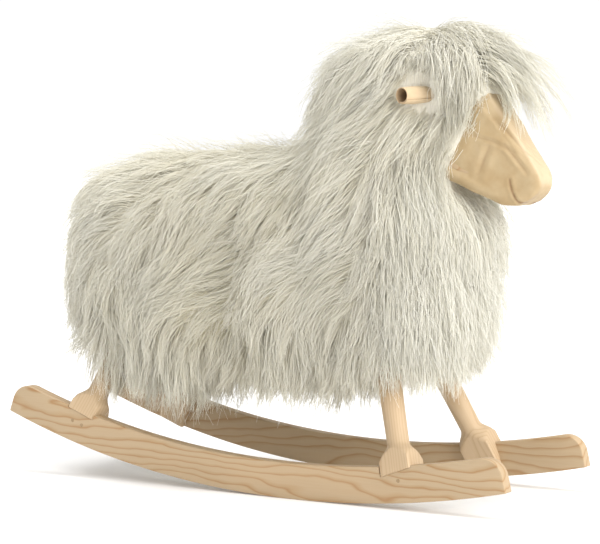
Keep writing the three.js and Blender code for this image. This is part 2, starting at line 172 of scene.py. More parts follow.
class Nodes:
    # a material and the short ways to its nodes
    def __init__(self, name):
        self.material = bpy.data.materials.new(name)
        self.material.use_nodes = True
        self.tree = self.material.node_tree
        self.tree.nodes.clear()
        self.shader = self.add("ShaderNodeBsdfPrincipled")
        self.output = self.add("ShaderNodeOutputMaterial", {"Surface": self.shader.outputs[0]})

    def add(self, kind, inputs=None, **settings):
        return addNode(self.tree, kind, inputs, **settings)

    def place(self):
        return self.add("ShaderNodeTexCoord").outputs["Object"]

    def mapping(self, source, scale=(1, 1, 1), turn=(0, 0, 0)):
        inputs = {"Vector": source, "Scale": scale, "Rotation": turn}
        return self.add("ShaderNodeMapping", inputs).outputs["Vector"]

    def noise(self, source, scale, detail=2, rough=0.5, output="Fac"):
        inputs = {"Vector": source, "Scale": scale, "Detail": detail, "Roughness": rough}
        return self.add("ShaderNodeTexNoise", inputs).outputs[output]

    def maths(self, operation, *values):
        return self.add("ShaderNodeMath", dict(enumerate(values)), operation=operation).outputs[0]

    def vectors(self, operation, inputs):
        return self.add("ShaderNodeVectorMath", inputs, operation=operation).outputs[0]

    def ramp(self, value, stops):
        node = self.add("ShaderNodeValToRGB", {"Fac": value})
        elements = node.color_ramp.elements
        while len(elements) > 1:
            elements.remove(elements[0])
        for i, (at, colour) in enumerate(stops):
            stop = elements[0] if i == 0 else elements.new(at)
            stop.position = at
            stop.color = (*colour, 1)
        return node.outputs["Color"]

    def mix(self, share, a, b, kind="MIX"):
        a, b = ((*colour, 1) if isinstance(colour, tuple) else colour for colour in (a, b))
        node = self.add("ShaderNodeMix", {0: share, 6: a, 7: b}, data_type="RGBA", blend_type=kind)
        return node.outputs[2]

    def attribute(self, name):
        return self.add("ShaderNodeAttribute", attribute_name=name).outputs["Fac"]

    def bump(self, height, strength, distance, under=None):
        inputs = {"Strength": strength, "Distance": distance, "Height": height}
        if under:
            inputs["Normal"] = under
        return self.add("ShaderNodeBump", inputs).outputs["Normal"]

    def finish(self, colour, roughness, normal=None, **sockets):
        inputs = {"Base Color": colour, "Roughness": roughness}
        if normal:
            inputs["Normal"] = normal
        inputs.update({name.replace("_", " "): value for name, value in sockets.items()})
        fill(self.tree, self.shader, inputs)
        return self.material

    def letThrough(self, colour, share):
        # a thin fibre also glows with the light behind it
        thin = self.add("ShaderNodeBsdfTranslucent", {"Color": colour})
        both = self.add("ShaderNodeMixShader", {0: share, 1: self.shader.outputs[0], 2: thin.outputs[0]})
        fill(self.tree, self.output, {"Surface": both.outputs[0]})


view = {
    "azimuth": 31.59, "elevation": 2.97, "distance": 2.7319, "target": (0, 0, 0.2995),
    "lens": 119.1, "shiftX": 0.0155, "shiftY": -0.0133,
}


def aimed(obj, target):
    obj.rotation_euler = (Vector(target) - obj.location).to_track_quat("-Z", "Y").to_euler()


def setCamera():
    a, e = math.radians(view["azimuth"]), math.radians(view["elevation"])
    away = Vector((math.sin(a) * math.cos(e), -math.cos(a) * math.cos(e), math.sin(e)))
    camera = bpy.data.cameras.new("camera")
    camera.lens = view["lens"]
    camera.sensor_width = 36
    camera.shift_x = view["shiftX"]
    camera.shift_y = view["shiftY"]
    camera.clip_end = 200
    obj = bpy.data.objects.new("camera", camera)
    scene.collection.objects.link(obj)
    obj.location = Vector(view["target"]) + away * view["distance"]
    aimed(obj, view["target"])
    scene.camera = obj


lamps = {
    "key": {"from": (3.0, -0.9, 1.7), "softness": 60, "power": 3.05, "colour": (1.0, 0.985, 0.96)},
    "top": {"from": (-0.25, 0.1, 3.0), "softness": 20, "power": 1.45, "colour": (1, 1, 1)},
}
studio = {"ambient": 0.66, "backdrop": 1.05, "floorGlow": 0.10, "floorTone": 0.90, "floorReach": 40}


def setStudio():
    for name, lamp in lamps.items():
        data = bpy.data.lights.new(name, "SUN")
        data.energy = lamp["power"]
        data.color = lamp["colour"]
        data.angle = math.radians(lamp["softness"])
        obj = bpy.data.objects.new(name, data)
        scene.collection.objects.link(obj)
        obj.location = lamp["from"]
        aimed(obj, (0, 0, 0))
    world = bpy.data.worlds.new("studio")
    scene.world = world
    world.use_nodes = True
    tree = world.node_tree
    tree.nodes.clear()
    glow, seen = (addNode(tree, "ShaderNodeBackground", {"Color": (1, 1, 1, 1), "Strength": studio[part]})
                  for part in ("ambient", "backdrop"))
    path = addNode(tree, "ShaderNodeLightPath")
    mixer = addNode(tree, "ShaderNodeMixShader",
                    {0: path.outputs["Is Camera Ray"], 1: glow.outputs[0], 2: seen.outputs[0]})
    addNode(tree, "ShaderNodeOutputWorld", {0: mixer.outputs[0]})
    n = Nodes("paleFloor")
    mottled = n.noise(n.place(), 3.0, 2)
    tone = studio["floorTone"]
    colour = n.mix(mottled, (tone, tone, tone), (tone + 0.01, tone + 0.01, tone + 0.008))
    n.shader.inputs["Emission Color"].default_value = (1, 1, 1, 1)
    material = n.finish(colour, 0.9, Emission_Strength=studio["floorGlow"], Specular_IOR_Level=0.1)
    reach = studio["floorReach"]
    corners = [(-reach, -reach, 0), (reach, -reach, 0), (reach, reach, 0), (-reach, reach, 0)]
    floor = newPiece("floor", corners, [(0, 1, 2, 3)], material)
    scene.view_settings.view_transform = "Standard"


setCamera()
setStudio()
print("camera and studio set")

# colours of the pine between its growth rings and in them
pineLook = {
    "early": (0.445, 0.355, 0.237), "mid": (0.40, 0.293, 0.168), "late": (0.320, 0.178, 0.074),
    "ringEvery": 0.0062, "warp": 0.018,
}


def pineWood(name, heart, turn=(0, 0, 0), ring=1.0, contrast=1.0, paleness=0.0, warp=1.0):
    # growth rings round a heart that lies outside the board, drawn out along the piece
    n = Nodes(name)
    at = n.mapping(n.place(), turn=turn)
    slow = n.noise(n.mapping(at, scale=(4.5, 12, 12)), 1.6, 2.5, output="Color")
    centred = n.vectors("SUBTRACT", {0: slow, 1: (0.5, 0.5, 0.5)})
    wander = n.vectors("SCALE", {0: centred, "Scale": pineLook["warp"] * 2.2 * warp})
    split = n.add("ShaderNodeSeparateXYZ", {0: n.vectors("ADD", {0: at, 1: wander})}).outputs
    dy = n.maths("ADD", split["Y"], -heart[0])
    dz = n.maths("ADD", split["Z"], -heart[1])
    lean = n.maths("MULTIPLY", split["X"], heart[2])
    dz = n.maths("ADD", dz, lean)
    radius = n.maths("SQRT", n.maths("ADD", n.maths("MULTIPLY", dy, dy), n.maths("MULTIPLY", dz, dz)))
    phase = n.maths("DIVIDE", radius, pineLook["ringEvery"] * ring)
    uneven = n.noise(n.mapping(at, scale=(1.2, 26, 26)), 1.0, 1)
    phase = n.maths("ADD", phase, n.maths("MULTIPLY", uneven, 1.4))
    wave = n.maths("FRACT", phase)
    c = contrast
    early, mid, late = (np.array(pineLook[k]) for k in ("early", "mid", "late"))
    early = along(early, np.array((0.60, 0.475, 0.325)), paleness)
    mid = along(early, mid, c)
    late = along(early, late, c)
    rings = n.ramp(wave, [(0.0, tuple(early)), (0.50, tuple(early)), (0.74, tuple(mid)),
                          (0.86, tuple(late)), (0.93, tuple(mid)), (1.0, tuple(early))])
    fibre = n.noise(n.mapping(at, scale=(14, 900, 900)), 1.0, 3, 0.6)
    colour = n.mix(n.maths("MULTIPLY", fibre, 0.42), rings, (0.80, 0.60, 0.40), "MULTIPLY")
    patch = n.noise(n.mapping(at, scale=(5, 22, 22)), 1.0, 2)
    colour = n.mix(n.maths("MULTIPLY", patch, 0.35), colour, (0.70, 0.47, 0.27))
    pores = n.noise(n.mapping(at, scale=(40, 1600, 1600)), 1.0, 2)
    normal = n.bump(fibre, 0.25, 0.0004, n.bump(pores, 0.15, 0.0002))
    rough = n.maths("ADD", n.maths("MULTIPLY", wave, -0.08), 0.56)
    return n.finish(colour, rough, normal, Specular_IOR_Level=0.32)


rockerPine = {
    "right": pineWood("rockerPineRight", (-0.175, 0.105, 0.05), ring=1.55),
    "left": pineWood("rockerPineLeft", (0.20, -0.05, -0.05), ring=1.7, contrast=0.9, paleness=0.1),
}
framePine = pineWood("framePine", (0.06, 0.40, 0.0))
dowelBeech = pineWood("dowelBeech", (0.0, 0.0, 0.0), turn=(0, 0, math.pi / 2), ring=0.3, paleness=-1.7)

rocker = {
    "length": 0.780, "radius": 1.366, "height": 0.047, "thickness": 0.019, "nose": 0.026,
    "contactX": 0.086, "track": 0.265, "edge": 0.0016, "fit": 0.0003, "steps": 150,
}
leg = {
    "frontX": 0.234, "rearX": -0.262, "splay": 0.38, "rake": 0.38, "ankle": 0.0145, "thigh": 0.0173,
    "footLength": 0.045, "footWidth": 0.039, "footRise": 0.011, "shoulder": 0.017, "cheek": 0.042,
    "lap": 0.0015, "socketZ": 0.267, "around": 72, "tall": 76,
}
topRadius = rocker["radius"] - rocker["height"]
outerY = rocker["track"] / 2
innerY = outerY - rocker["thickness"]


def topEdgeZ(x):
    return rocker["radius"] - math.sqrt(topRadius ** 2 - (x - rocker["contactX"]) ** 2)


def legPlan(front, side):
    footX = leg["frontX"] if front else leg["rearX"]
    rake = -leg["rake"] if front else leg["rake"]
    # the shaft leans back from a front foot and forward from a rear foot
    tilt = math.atan(leg["splay"] * math.cos(math.atan(leg["rake"])))
    y = outerY - leg["footWidth"] / 2 / math.cos(tilt)
    edgeSlope = math.asin((footX - rocker["contactX"]) / topRadius)
    footTilt = -math.atan(rake)
    point = Vector((footX, side * y, topEdgeZ(footX)))
    direction = Vector((rake, -side * leg["splay"], 1))
    upward = direction.normalized()
    forward = Vector((0, 1, 0)).cross(upward).normalized()
    across = upward.cross(forward)
    frameOf = Matrix((forward, across, upward)).transposed().to_4x4()
    frameOf.translation = point
    notch = (leg["lap"] + leg["footLength"] / 2 * abs(math.tan(footTilt - edgeSlope))
             + leg["footWidth"] / 2 * math.tan(tilt))
    length = (leg["socketZ"] - point.z) * direction.length
    return {"front": front, "side": side, "frame": frameOf, "notch": notch, "length": length,
            "name": f"{'front' if front else 'rear'}_{'left' if side > 0 else 'right'}"}


legPlans = [legPlan(front, side) for front in (True, False) for side in (1, -1)]


def boxTool(low, high, matrix=None):
    corners = [(x, y, z) for x in (low[0], high[0]) for y in (low[1], high[1]) for z in (low[2], high[2])]
    faces = [(0, 1, 3, 2), (4, 6, 7, 5), (0, 4, 5, 1), (2, 3, 7, 6), (0, 2, 6, 4), (1, 5, 7, 3)]
    obj = newPiece("tool", corners, faces)
    if matrix:
        obj.data.transform(matrix)
    return outward(obj)


def rockerOutline():
    def at(angle, radius):
        return Vector((rocker["contactX"] + radius * math.sin(angle), 0,
                       rocker["radius"] - radius * math.cos(angle)))
    half = rocker["length"] / 2
    front = math.asin((half - rocker["contactX"]) / rocker["radius"])
    rear = math.asin((-half - rocker["contactX"]) / rocker["radius"])
    noseAngle = rocker["nose"] / topRadius
    steps = rocker["steps"]
    points = [at(along(rear, front, i / steps), rocker["radius"]) for i in range(steps + 1)]

    def nose(angle, inward, share):
        turn = share * math.pi / 2
        return at(angle - inward * noseAngle * (1 - math.cos(turn)),
                  topRadius + rocker["nose"] * (1 - math.sin(turn)))
    points += [nose(front, 1, i / 12) for i in range(13)]
    inner = [along(front - noseAngle, rear + noseAngle, i / steps) for i in range(1, steps)]
    points += [at(angle, topRadius) for angle in inner]
    points += [nose(rear, -1, i / 12) for i in range(12, -1, -1)]
    return points


def makeRocker(side):
    name = "left" if side > 0 else "right"
    line = rockerOutline()
    count = len(line)
    verts = [(p.x, side * y, p.z) for y in (innerY, outerY) for p in line]
    faces = [tuple(range(count)), tuple(range(2 * count - 1, count - 1, -1))]
    faces += [(i, count + i, count + (i + 1) % count, (i + 1) % count) for i in range(count)]
    obj = outward(newPiece(f"rocker_board_{name}", verts, faces))
    modify(obj, "edge", "BEVEL", width=rocker["edge"], segments=3, limit_method="ANGLE",
           angle_limit=math.radians(40))
    bake(obj)
    fit = rocker["fit"]
    for plan in legPlans:
        if plan["side"] != side:
            continue
        half = leg["footLength"] / 2 + fit
        tool = boxTool((-half, -2 * leg["footWidth"], -plan["notch"] - fit),
                       (half, 2 * leg["footWidth"], 0.1), plan["frame"])
        cut(obj, tool)
    dress(obj, rockerPine[name], 30)
    declare(obj, [f"rocker_{name}"])


def legRadius(angle, s, plan):
    # the square of the foot and the turned round, whichever is smaller, eased where they meet
    n = 18
    square = (abs(math.cos(angle) / (leg["footLength"] / 2)) ** n
              + abs(math.sin(angle) / (leg["footWidth"] / 2)) ** n) ** (-1 / n)
    corner = math.hypot(leg["footLength"], leg["footWidth"]) / 2
    start, end = leg["footRise"] - 0.006, leg["footRise"] + leg["shoulder"]
    if s <= start:
        return square
    if s < end:
        share = (s - start) / (end - start)
        turned = along(corner - 0.003, leg["ankle"], (1 - math.cos(math.pi * share)) / 2)
    else:
        share = min(1, (s - end) / (plan["length"] * 0.8 - end))
        turned = along(leg["ankle"], leg["thigh"], share ** 1.3)
    k = 0.0009
    h = max(0, min(1, 0.5 + 0.5 * (square - turned) / k))
    return along(square, turned, h) - k * h * (1 - h)


def makeLeg(plan):
    rows = leg["tall"]
    around = leg["around"]
    low, high = -leg["cheek"], plan["length"]
    heights = []
    for i in range(rows + 1):
        t = i / rows
        heights.append(along(low, high, t ** 1.25))
    # the angles are spread evenly round the leg
    base = [2 * math.pi * (i + 0.5) / around for i in range(around)]
    verts = [plan["frame"] @ Vector((0, 0, low))]
    for s in heights:
        for a in base:
            r = legRadius(a, s, plan)
            verts.append(plan["frame"] @ Vector((r * math.cos(a), r * math.sin(a), s)))
    verts.append(plan["frame"] @ Vector((0, 0, high)))
    faces = []
    for i in range(rows):
        for j in range(around):
            k = 1 + i * around
            faces.append((k + j, k + (j + 1) % around, k + around + (j + 1) % around, k + around + j))
    top = 1 + rows * around
    for j in range(around):
        faces.append((0, 1 + (j + 1) % around, 1 + j))
        faces.append((top + j, top + (j + 1) % around, len(verts) - 1))
    obj = outward(newPiece(f"turned_leg_{plan['name']}", verts, faces))
    fit = rocker["fit"]
    edge = innerY - fit
    big = 0.2
    side = plan["side"]
    below = boxTool((-big, -big, -big), (big, big, -plan["notch"]), plan["frame"])
    outside = boxTool((-1, edge if side > 0 else -1, -1), (1, 1 if side > 0 else -edge, 1))
    cut(below, outside, "INTERSECT")
    cut(obj, below)
    inverse = plan["frame"].to_3x3().inverted()
    turn = (Matrix(((0, 0, 1), (0, 1, 0), (-1, 0, 0))) @ inverse).to_euler()
    at = plan["frame"].translation
    centre = (Matrix(((0, 0, 1), (0, 1, 0), (-1, 0, 0))) @ inverse) @ at
    heart = (centre.y + (0.035 if side > 0 else -0.03), centre.z + 0.02, 0.0)
    material = pineWood(f"legPine_{plan['name']}", heart, turn=tuple(turn), ring=0.62,
                        contrast=0.36, paleness=0.62, warp=0.35)
    dress(obj, material, 28)
    declare(obj, [f"leg_{plan['name']}"])


for side in (1, -1):
    makeRocker(side)
for plan in legPlans:
    makeLeg(plan)
print("rockers and legs made")


def steelLook():
    n = Nodes("zincSteel")
    streak = n.noise(n.mapping(n.place(), scale=(900, 900, 60)), 1.0, 3)
    colour = n.mix(streak, (0.52, 0.52, 0.50), (0.66, 0.66, 0.65))
    rough = n.maths("ADD", n.maths("MULTIPLY", streak, 0.2), 0.25)
    return n.finish(colour, rough, n.bump(streak, 0.1, 0.0002), Metallic=1.0)


dowel = {"proud": 0.0004, "round": 0.0005, "rim": 0.0004, "sides": 24}


def makeDowel(name, node):
    # a round peg, its outer end just proud of the rocker and dark with end grain
    side = 1 if "left" in name else -1
    reach = [side * v.co.y for v in node.data.vertices]
    ends = []
    for limit in (min(reach), max(reach)):
        rim = {tuple(round(c, 6) for c in v.co)
               for v, r in zip(node.data.vertices, reach) if abs(r - limit) < dowel["rim"]}
        ends.append([Vector(p) for p in rim])
    inner, outer = (sum(points, Vector()) / len(points) for points in ends)
    radius = max((p - outer).length for p in ends[1])
    way = (outer - inner).normalized()
    turned = way.to_track_quat("Z", "Y").to_matrix()
    outer = outer + way * dowel["proud"]
    rings = [(inner, radius)] + [(outer - way * dowel["round"], radius), (outer, radius - dowel["round"])]
    sides = dowel["sides"]
    turns = [2 * math.pi * i / sides for i in range(sides)]
    verts = [at + turned @ Vector((r * math.cos(a), r * math.sin(a), 0)) for at, r in rings for a in turns]
    faces = closedRings(sides, 3)
    faces += [tuple(range(sides)), tuple(range(2 * sides, 3 * sides))]
    obj = shadeSmooth(outward(newPiece(name.replace("dowel", "beech_dowel"), verts, faces, dowelBeech)), 30)
    declare(obj, [name])


steel = steelLook()
for name, node in list(nodes.items()):
    if name.startswith("dowel_"):
        makeDowel(name, node)
    elif "screw" in name or "bolt" in name:
        clad(node, steel)
    elif name in ("front_bolster", "rear_bolster", "seat_board", "neck_post", "head_block"):
        clad(node, framePine)


leatherLook = {
    # dark is the colour of painted shade in hollows
    "pale": (0.515, 0.395, 0.235), "warm": (0.435, 0.31, 0.163), "dark": (0.24, 0.14, 0.065),
    # the colour of the painted highlight where the leather faces the key light
    "paintedHighlight": (0.69, 0.55, 0.37),
}


def leatherMaterial(name, paleness=0.0):
    n = Nodes(name)
    at = n.place()
    cloud = n.noise(at, 28, 3, 0.6)
    fine = n.noise(at, 260, 3, 0.6)
    pale = tuple(along(np.array(leatherLook["pale"]), np.array((0.87, 0.70, 0.50)), paleness))
    warm = tuple(along(np.array(leatherLook["warm"]), np.array((0.80, 0.60, 0.40)), paleness))
    colour = n.mix(n.ramp(cloud, [(0.35, (0, 0, 0)), (0.65, (1, 1, 1))]), pale, warm)
    colour = n.mix(n.maths("MULTIPLY", fine, 0.25), colour, warm)
    # painted highlight where the leather faces the key light
    colour = n.mix(n.maths("MULTIPLY", n.attribute("paintedHighlight"), 0.75), colour, leatherLook["paintedHighlight"])
    # painted shade in folds, slits and hollows
    colour = n.mix(n.attribute("hollowShade"), colour, leatherLook["dark"])
    cells = n.add("ShaderNodeTexVoronoi", {"Vector": at, "Scale": 650}, feature="DISTANCE_TO_EDGE")
    pebble = n.maths("MULTIPLY", cells.outputs["Distance"], 1.6)
    normal = n.bump(pebble, 0.25, 0.0004, n.bump(cloud, 0.35, 0.0012))
    rough = n.maths("ADD", n.maths("MULTIPLY", cloud, 0.16), 0.46)
    return n.finish(colour, rough, normal, Specular_IOR_Level=0.38)


muzzleLeather = leatherMaterial("muzzleLeather")
earLeather = leatherMaterial("earLeather", 0.45)

head = {
    "width": 0.092, "nose": 0.047, "round": 0.013, "skullEnd": 0.210, "noseTip": 0.380,
    "leather": 0.002, "fit": 0.0003, "rear": 0.232, "voxel": 0.0014, "kept": 0.38,
    "start": (0.182, 0.540),
    "runs": [(0.200, 0.584, 0.246, 0.580), (0.286, 0.574, 0.305, 0.536), (0.376, 0.429),
             (0.386, 0.412, 0.372, 0.398), (0.354, 0.383, 0.330, 0.387), (0.262, 0.418),
             (0.222, 0.432, 0.196, 0.466), (0.172, 0.500, 0.182, 0.540)],
    # folds over the bridge and down the cheeks: points on the way, width, depth
    "folds": [
        (((0.312, -0.031, 0.505), (0.338, -0.027, 0.480), (0.360, -0.020, 0.454), (0.373, 0.000, 0.436)),
         0.0026, 0.0016),
        (((0.293, -0.037, 0.474), (0.322, -0.031, 0.466), (0.349, -0.027, 0.452)), 0.0024, 0.0013),
        (((0.337, -0.029, 0.462), (0.352, -0.028, 0.444), (0.366, -0.025, 0.426)), 0.0026, 0.0014),
        (((0.320, -0.031, 0.466), (0.311, -0.033, 0.445), (0.303, -0.034, 0.423)), 0.0040, 0.0010),
        (((0.330, -0.012, 0.500), (0.350, -0.008, 0.470), (0.367, 0.003, 0.444)), 0.0022, 0.0013),
        (((0.352, -0.016, 0.466), (0.360, 0.004, 0.455), (0.364, 0.016, 0.449)), 0.0022, 0.0010),
        (((0.318, 0.004, 0.517), (0.336, 0.014, 0.490), (0.346, 0.020, 0.474)), 0.0026, 0.0011),
    ],
    "mouth": [((0.344, 0.417), (0.3455, 0.407), (0.349, 0.397), (0.354, 0.3885), (0.364, 0.3875),
               (0.375, 0.395), (0.3845, 0.4055))],
}


def headOutline():
    points = [Vector((head["start"][0], 0, head["start"][1]))]
    here = Vector(head["start"])
    for run in head["runs"]:
        end = Vector(run[-2:])
        steps = 10 if len(run) == 4 else 6
        for i in range(1, steps + 1):
            t = i / steps
            if len(run) == 4:
                bend = Vector(run[:2])
                p = here * (1 - t) ** 2 + bend * 2 * t * (1 - t) + end * t * t
            else:
                p = here.lerp(end, t)
            points.append(Vector((p.x, 0, p.y)))
        here = end
    return points[:-1]


def headHalfWidth(x):
    return along(head["width"], head["nose"], float(smooth(head["skullEnd"], head["noseTip"], x))) / 2


def toSegment(p, a, b):
    ab = b - a
    t = np.clip(((p - a) @ ab) / max(ab @ ab, 1e-12), 0, 1)
    return np.linalg.norm(p - (a + t[:, None] * ab), axis=1), t


def headSolid(name, grow):
    line = headOutline()
    count = len(line)
    rings = []
    steps = 8
    inward = []
    for i in range(count):
        a, b = line[i - 1], line[(i + 1) % count]
        d = (b - a).normalized()
        inward.append(Vector((-d.z, 0, d.x)))
    centre = sum(line, Vector()) / count
    for i in range(count):
        if inward[i].dot(centre - line[i]) < 0:
            inward[i].negate()
    arcs = []
    for k in range(steps + 1):
        turn = math.pi / 2 * k / steps
        arcs.append((head["round"] * (1 - math.cos(turn)), math.sin(turn)))
    profile = [(inset, -1, rise) for inset, rise in reversed(arcs)]
    profile += [(inset, 1, rise) for inset, rise in arcs]
    verts = []
    for inset, sign, rise in profile:
        for i in range(count):
            p = line[i] + inward[i] * (inset - grow)
            half = headHalfWidth(p.x)
            scale = half / (head["width"] / 2)
            y = sign * ((head["width"] / 2 - head["round"]) + (head["round"] + grow) * rise) * scale
            verts.append((p.x, y, p.z))
    rows = len(profile)
    faces = closedRings(count, rows)
    faces += [tuple(range(count - 1, -1, -1)), tuple(range((rows - 1) * count, rows * count))]
    return outward(newPiece(name, verts, faces))


def perVertex(mesh, what):
    values = np.zeros(len(mesh.vertices) * 3)
    mesh.vertices.foreach_get(what, values)
    return values.reshape(-1, 3)


def makeMuzzle():
    obj = headSolid("muzzle_leather", head["fit"] + head["leather"])
    remeshed(obj, head["voxel"], 2, 0.5)
    mesh = obj.data
    co, no = (perVertex(mesh, what) for what in ("co", "normal"))
    move = np.zeros(len(co))
    # painted shade in the fold valleys, the mouth slit and the nostril dimples
    hollowShade = np.zeros(len(co))
    for line, width, depth in head["folds"]:
        for mirror in (1, -1):
            if mirror == -1 and line[-1][1] > -0.02:
                continue
            line = [np.array(point) * (1, mirror, 1) for point in line]
            count = len(line) - 1
            beside, shares = zip(*(toSegment(co, *pair) for pair in zip(line, line[1:])))
            nearest = np.argmin(np.stack(beside), axis=0)
            d = np.choose(nearest, beside)
            way = (nearest + np.choose(nearest, shares)) / count
            ends = np.sin(np.pi * np.clip(way, 0.04, 0.96)) ** 0.5  # a fold dies out at its ends
            valley = np.exp(-(d / width) ** 2)
            lips = np.exp(-((d - 2.1 * width) / (1.1 * width)) ** 2)
            move += depth * ends * (0.65 * lips - valley)
            hollowShade = np.maximum(hollowShade, ends * np.exp(-(d / (0.50 * width)) ** 2) * 0.42)
    # the mouth: a curved slit with a raised lower lip, round both sides of the nose, with painted shade in
    # the slit
    for path in head["mouth"]:
        for side in (1, -1):
            for (ax, az), (bx, bz) in zip(path, path[1:]):
                flat = np.stack([co[:, 0], co[:, 2]], 1)
                d, t = toSegment(flat, np.array((ax, az)), np.array((bx, bz)))
                onSide = smooth(0.004, 0.012, co[:, 1] * side)
                slit = np.exp(-(d / 0.0015) ** 2) * onSide
                lip = np.exp(-((d - 0.0042) / 0.0022) ** 2) * onSide
                move += -0.0007 * slit + 0.0004 * lip
                hollowShade = np.maximum(hollowShade, 0.85 * slit)
    # nostril dimples at the low front of the nose, with a little painted shade in them
    for side in (1, -1):
        d = np.linalg.norm(co - np.array((0.381, side * 0.012, 0.424)), axis=1)
        move += -0.0007 * np.exp(-(d / 0.0040) ** 2)
        hollowShade = np.maximum(hollowShade, 0.12 * np.exp(-(d / 0.0030) ** 2))
    wobble = np.array([noise.noise(Vector(p) * 42) + 0.5 * noise.noise(Vector(p) * 90) for p in co])
    move += wobble * 0.0009
    co += no * move[:, None]
    mesh.vertices.foreach_set("co", co.ravel())
    paint(mesh, "hollowShade", hollowShade)
    # painted highlight: the bridge, facing the key light, is painted paler than the cheeks
    bridge = no @ np.array((0.83, 0, 0.55))
    paint(mesh, "paintedHighlight", smooth(0.55, 0.92, bridge))
    with editing(obj) as bm:
        bmesh.ops.bisect_plane(bm, geom=list(bm.verts) + list(bm.edges) + list(bm.faces),
                               plane_co=(head["rear"], 0, 0), plane_no=(1, 0, 0), clear_inner=True)
    modify(obj, "fewer", "DECIMATE", ratio=head["kept"])
    modify(obj, "wall", "SOLIDIFY", thickness=head["leather"] * 0.85, offset=-1)
    bake(obj)
    dress(obj, muzzleLeather)
    declare(obj, ["muzzle_cover"])


ear = {
    "root": (0.246, 0.0405, 0.528), "sweep": (-0.46, 0.885, -0.065), "radius": 0.0125, "wall": 0.0018,
    "edge": 0.0005,
    "start": 0.004, "length": 0.055, "turns": 1.22, "around": 64, "rows": 34,
}


def earAxis(side):
    # where an ear is rooted and which way it points
    (x, y, z), (dx, dy, dz) = ear["root"], ear["sweep"]
    return Vector((x, side * y, z)), Vector((dx, side * dy, dz)).normalized()


def makeEar(side):
    root, out = earAxis(side)
    forward = Vector((0, 0, 1)).cross(out).normalized()
    above = out.cross(forward)
    verts = []
    for i in range(ear["rows"] + 1):
        t = i / ear["rows"]
        s = along(ear["start"], ear["length"], t)
        swell = 0.80 + 0.20 * math.sin(math.pi * min(1, t / 0.7) / 2) - 0.06 * max(0, t - 0.7) / 0.3
        pinch = along(0.55, 1.0, min(1, t / 0.22) ** 0.6)
        for j in range(ear["around"] + 1):
            v = j / ear["around"]
            angle = -math.pi * 0.62 + v * ear["turns"] * 2 * math.pi
            r = (ear["radius"] - ear["wall"] * 0.55) * swell - ear["wall"] * 1.05 * (1 - v) * 0.9
            r *= pinch
            slant = side * 0.0022 * math.cos(angle) * t * t
            verts.append(root + out * (s + slant) + forward * r * math.cos(angle)
                         + above * r * math.sin(angle) * 1.04)
    width = ear["around"] + 1
    faces = [(i * width + j, i * width + j + 1, (i + 1) * width + j + 1, (i + 1) * width + j)
             for i in range(ear["rows"]) for j in range(ear["around"])]
    name = "left" if side > 0 else "right"
    obj = newPiece(f"rolled_ear_{name}", verts, faces)
    with editing(obj) as bm:
        bm.normal_update()
        bm.faces.ensure_lookup_table()
        face = bm.faces[len(bm.faces) // 2 + 5]
        middle = face.calc_center_median()
        if face.normal.dot(middle - (root + out * (middle - root).dot(out))) < 0:
            bmesh.ops.reverse_faces(bm, faces=bm.faces)
    modify(obj, "wall", "SOLIDIFY", thickness=ear["wall"] * 0.8, offset=-1)
    modify(obj, "edge", "BEVEL", width=ear["edge"], segments=2, limit_method="ANGLE",
           angle_limit=math.radians(50))
    bake(obj)
    mesh = obj.data
    # painted shade inside the rolled ear, darkest deepest in
    dark = []
    for v in mesh.vertices:
        s = (v.co - root).dot(out)
        radial = v.co - root - out * s
        inside = max(0, min(1, 0.5 - 2 * v.normal.dot(radial.normalized())))
        dark.append(inside * min(1, 0.55 + (ear["length"] - s) / 0.03))
    paint(mesh, "hollowShade", dark)
    dress(obj, earLeather, 40)
    declare(obj, [f"ear_{name}"])


makeMuzzle()
for side in (1, -1):
    makeEar(side)
print("leather muzzle and ears made")


def clothMaterial(name, tone, scale=1400):
    n = Nodes(name)
    at = n.place()
    split = n.add("ShaderNodeSeparateXYZ", {0: n.mapping(at, scale=(scale, scale, scale))}).outputs
    warpWay = n.maths("SINE", split["X"])
    weftWay = n.maths("SINE", split["Y"])
    weave = n.maths("MULTIPLY", warpWay, weftWay)
    slub = n.noise(n.mapping(at, scale=(30, 300, 300)), 1.0, 3)
    colour = n.mix(slub, tone, tuple(c * 0.82 for c in tone))
    normal = n.bump(weave, 0.4, 0.0003)
    return n.finish(colour, 0.9, normal, Specular_IOR_Level=0.15)


liningCloth = clothMaterial("cottonLining", (0.62, 0.56, 0.44))
padCotton = clothMaterial("padCotton", (0.70, 0.64, 0.50), 1100)


def makePad(node, name):
    obj = newPiece(name, [], [])
    obj.data = nodes[node].data.copy()
    obj.data.name = name
    with editing(obj) as bm:
        bmesh.ops.remove_doubles(bm, verts=bm.verts, dist=1e-5)
    remeshed(obj, 0.006, 5)
    dress(obj, padCotton)
    declare(obj, [node])


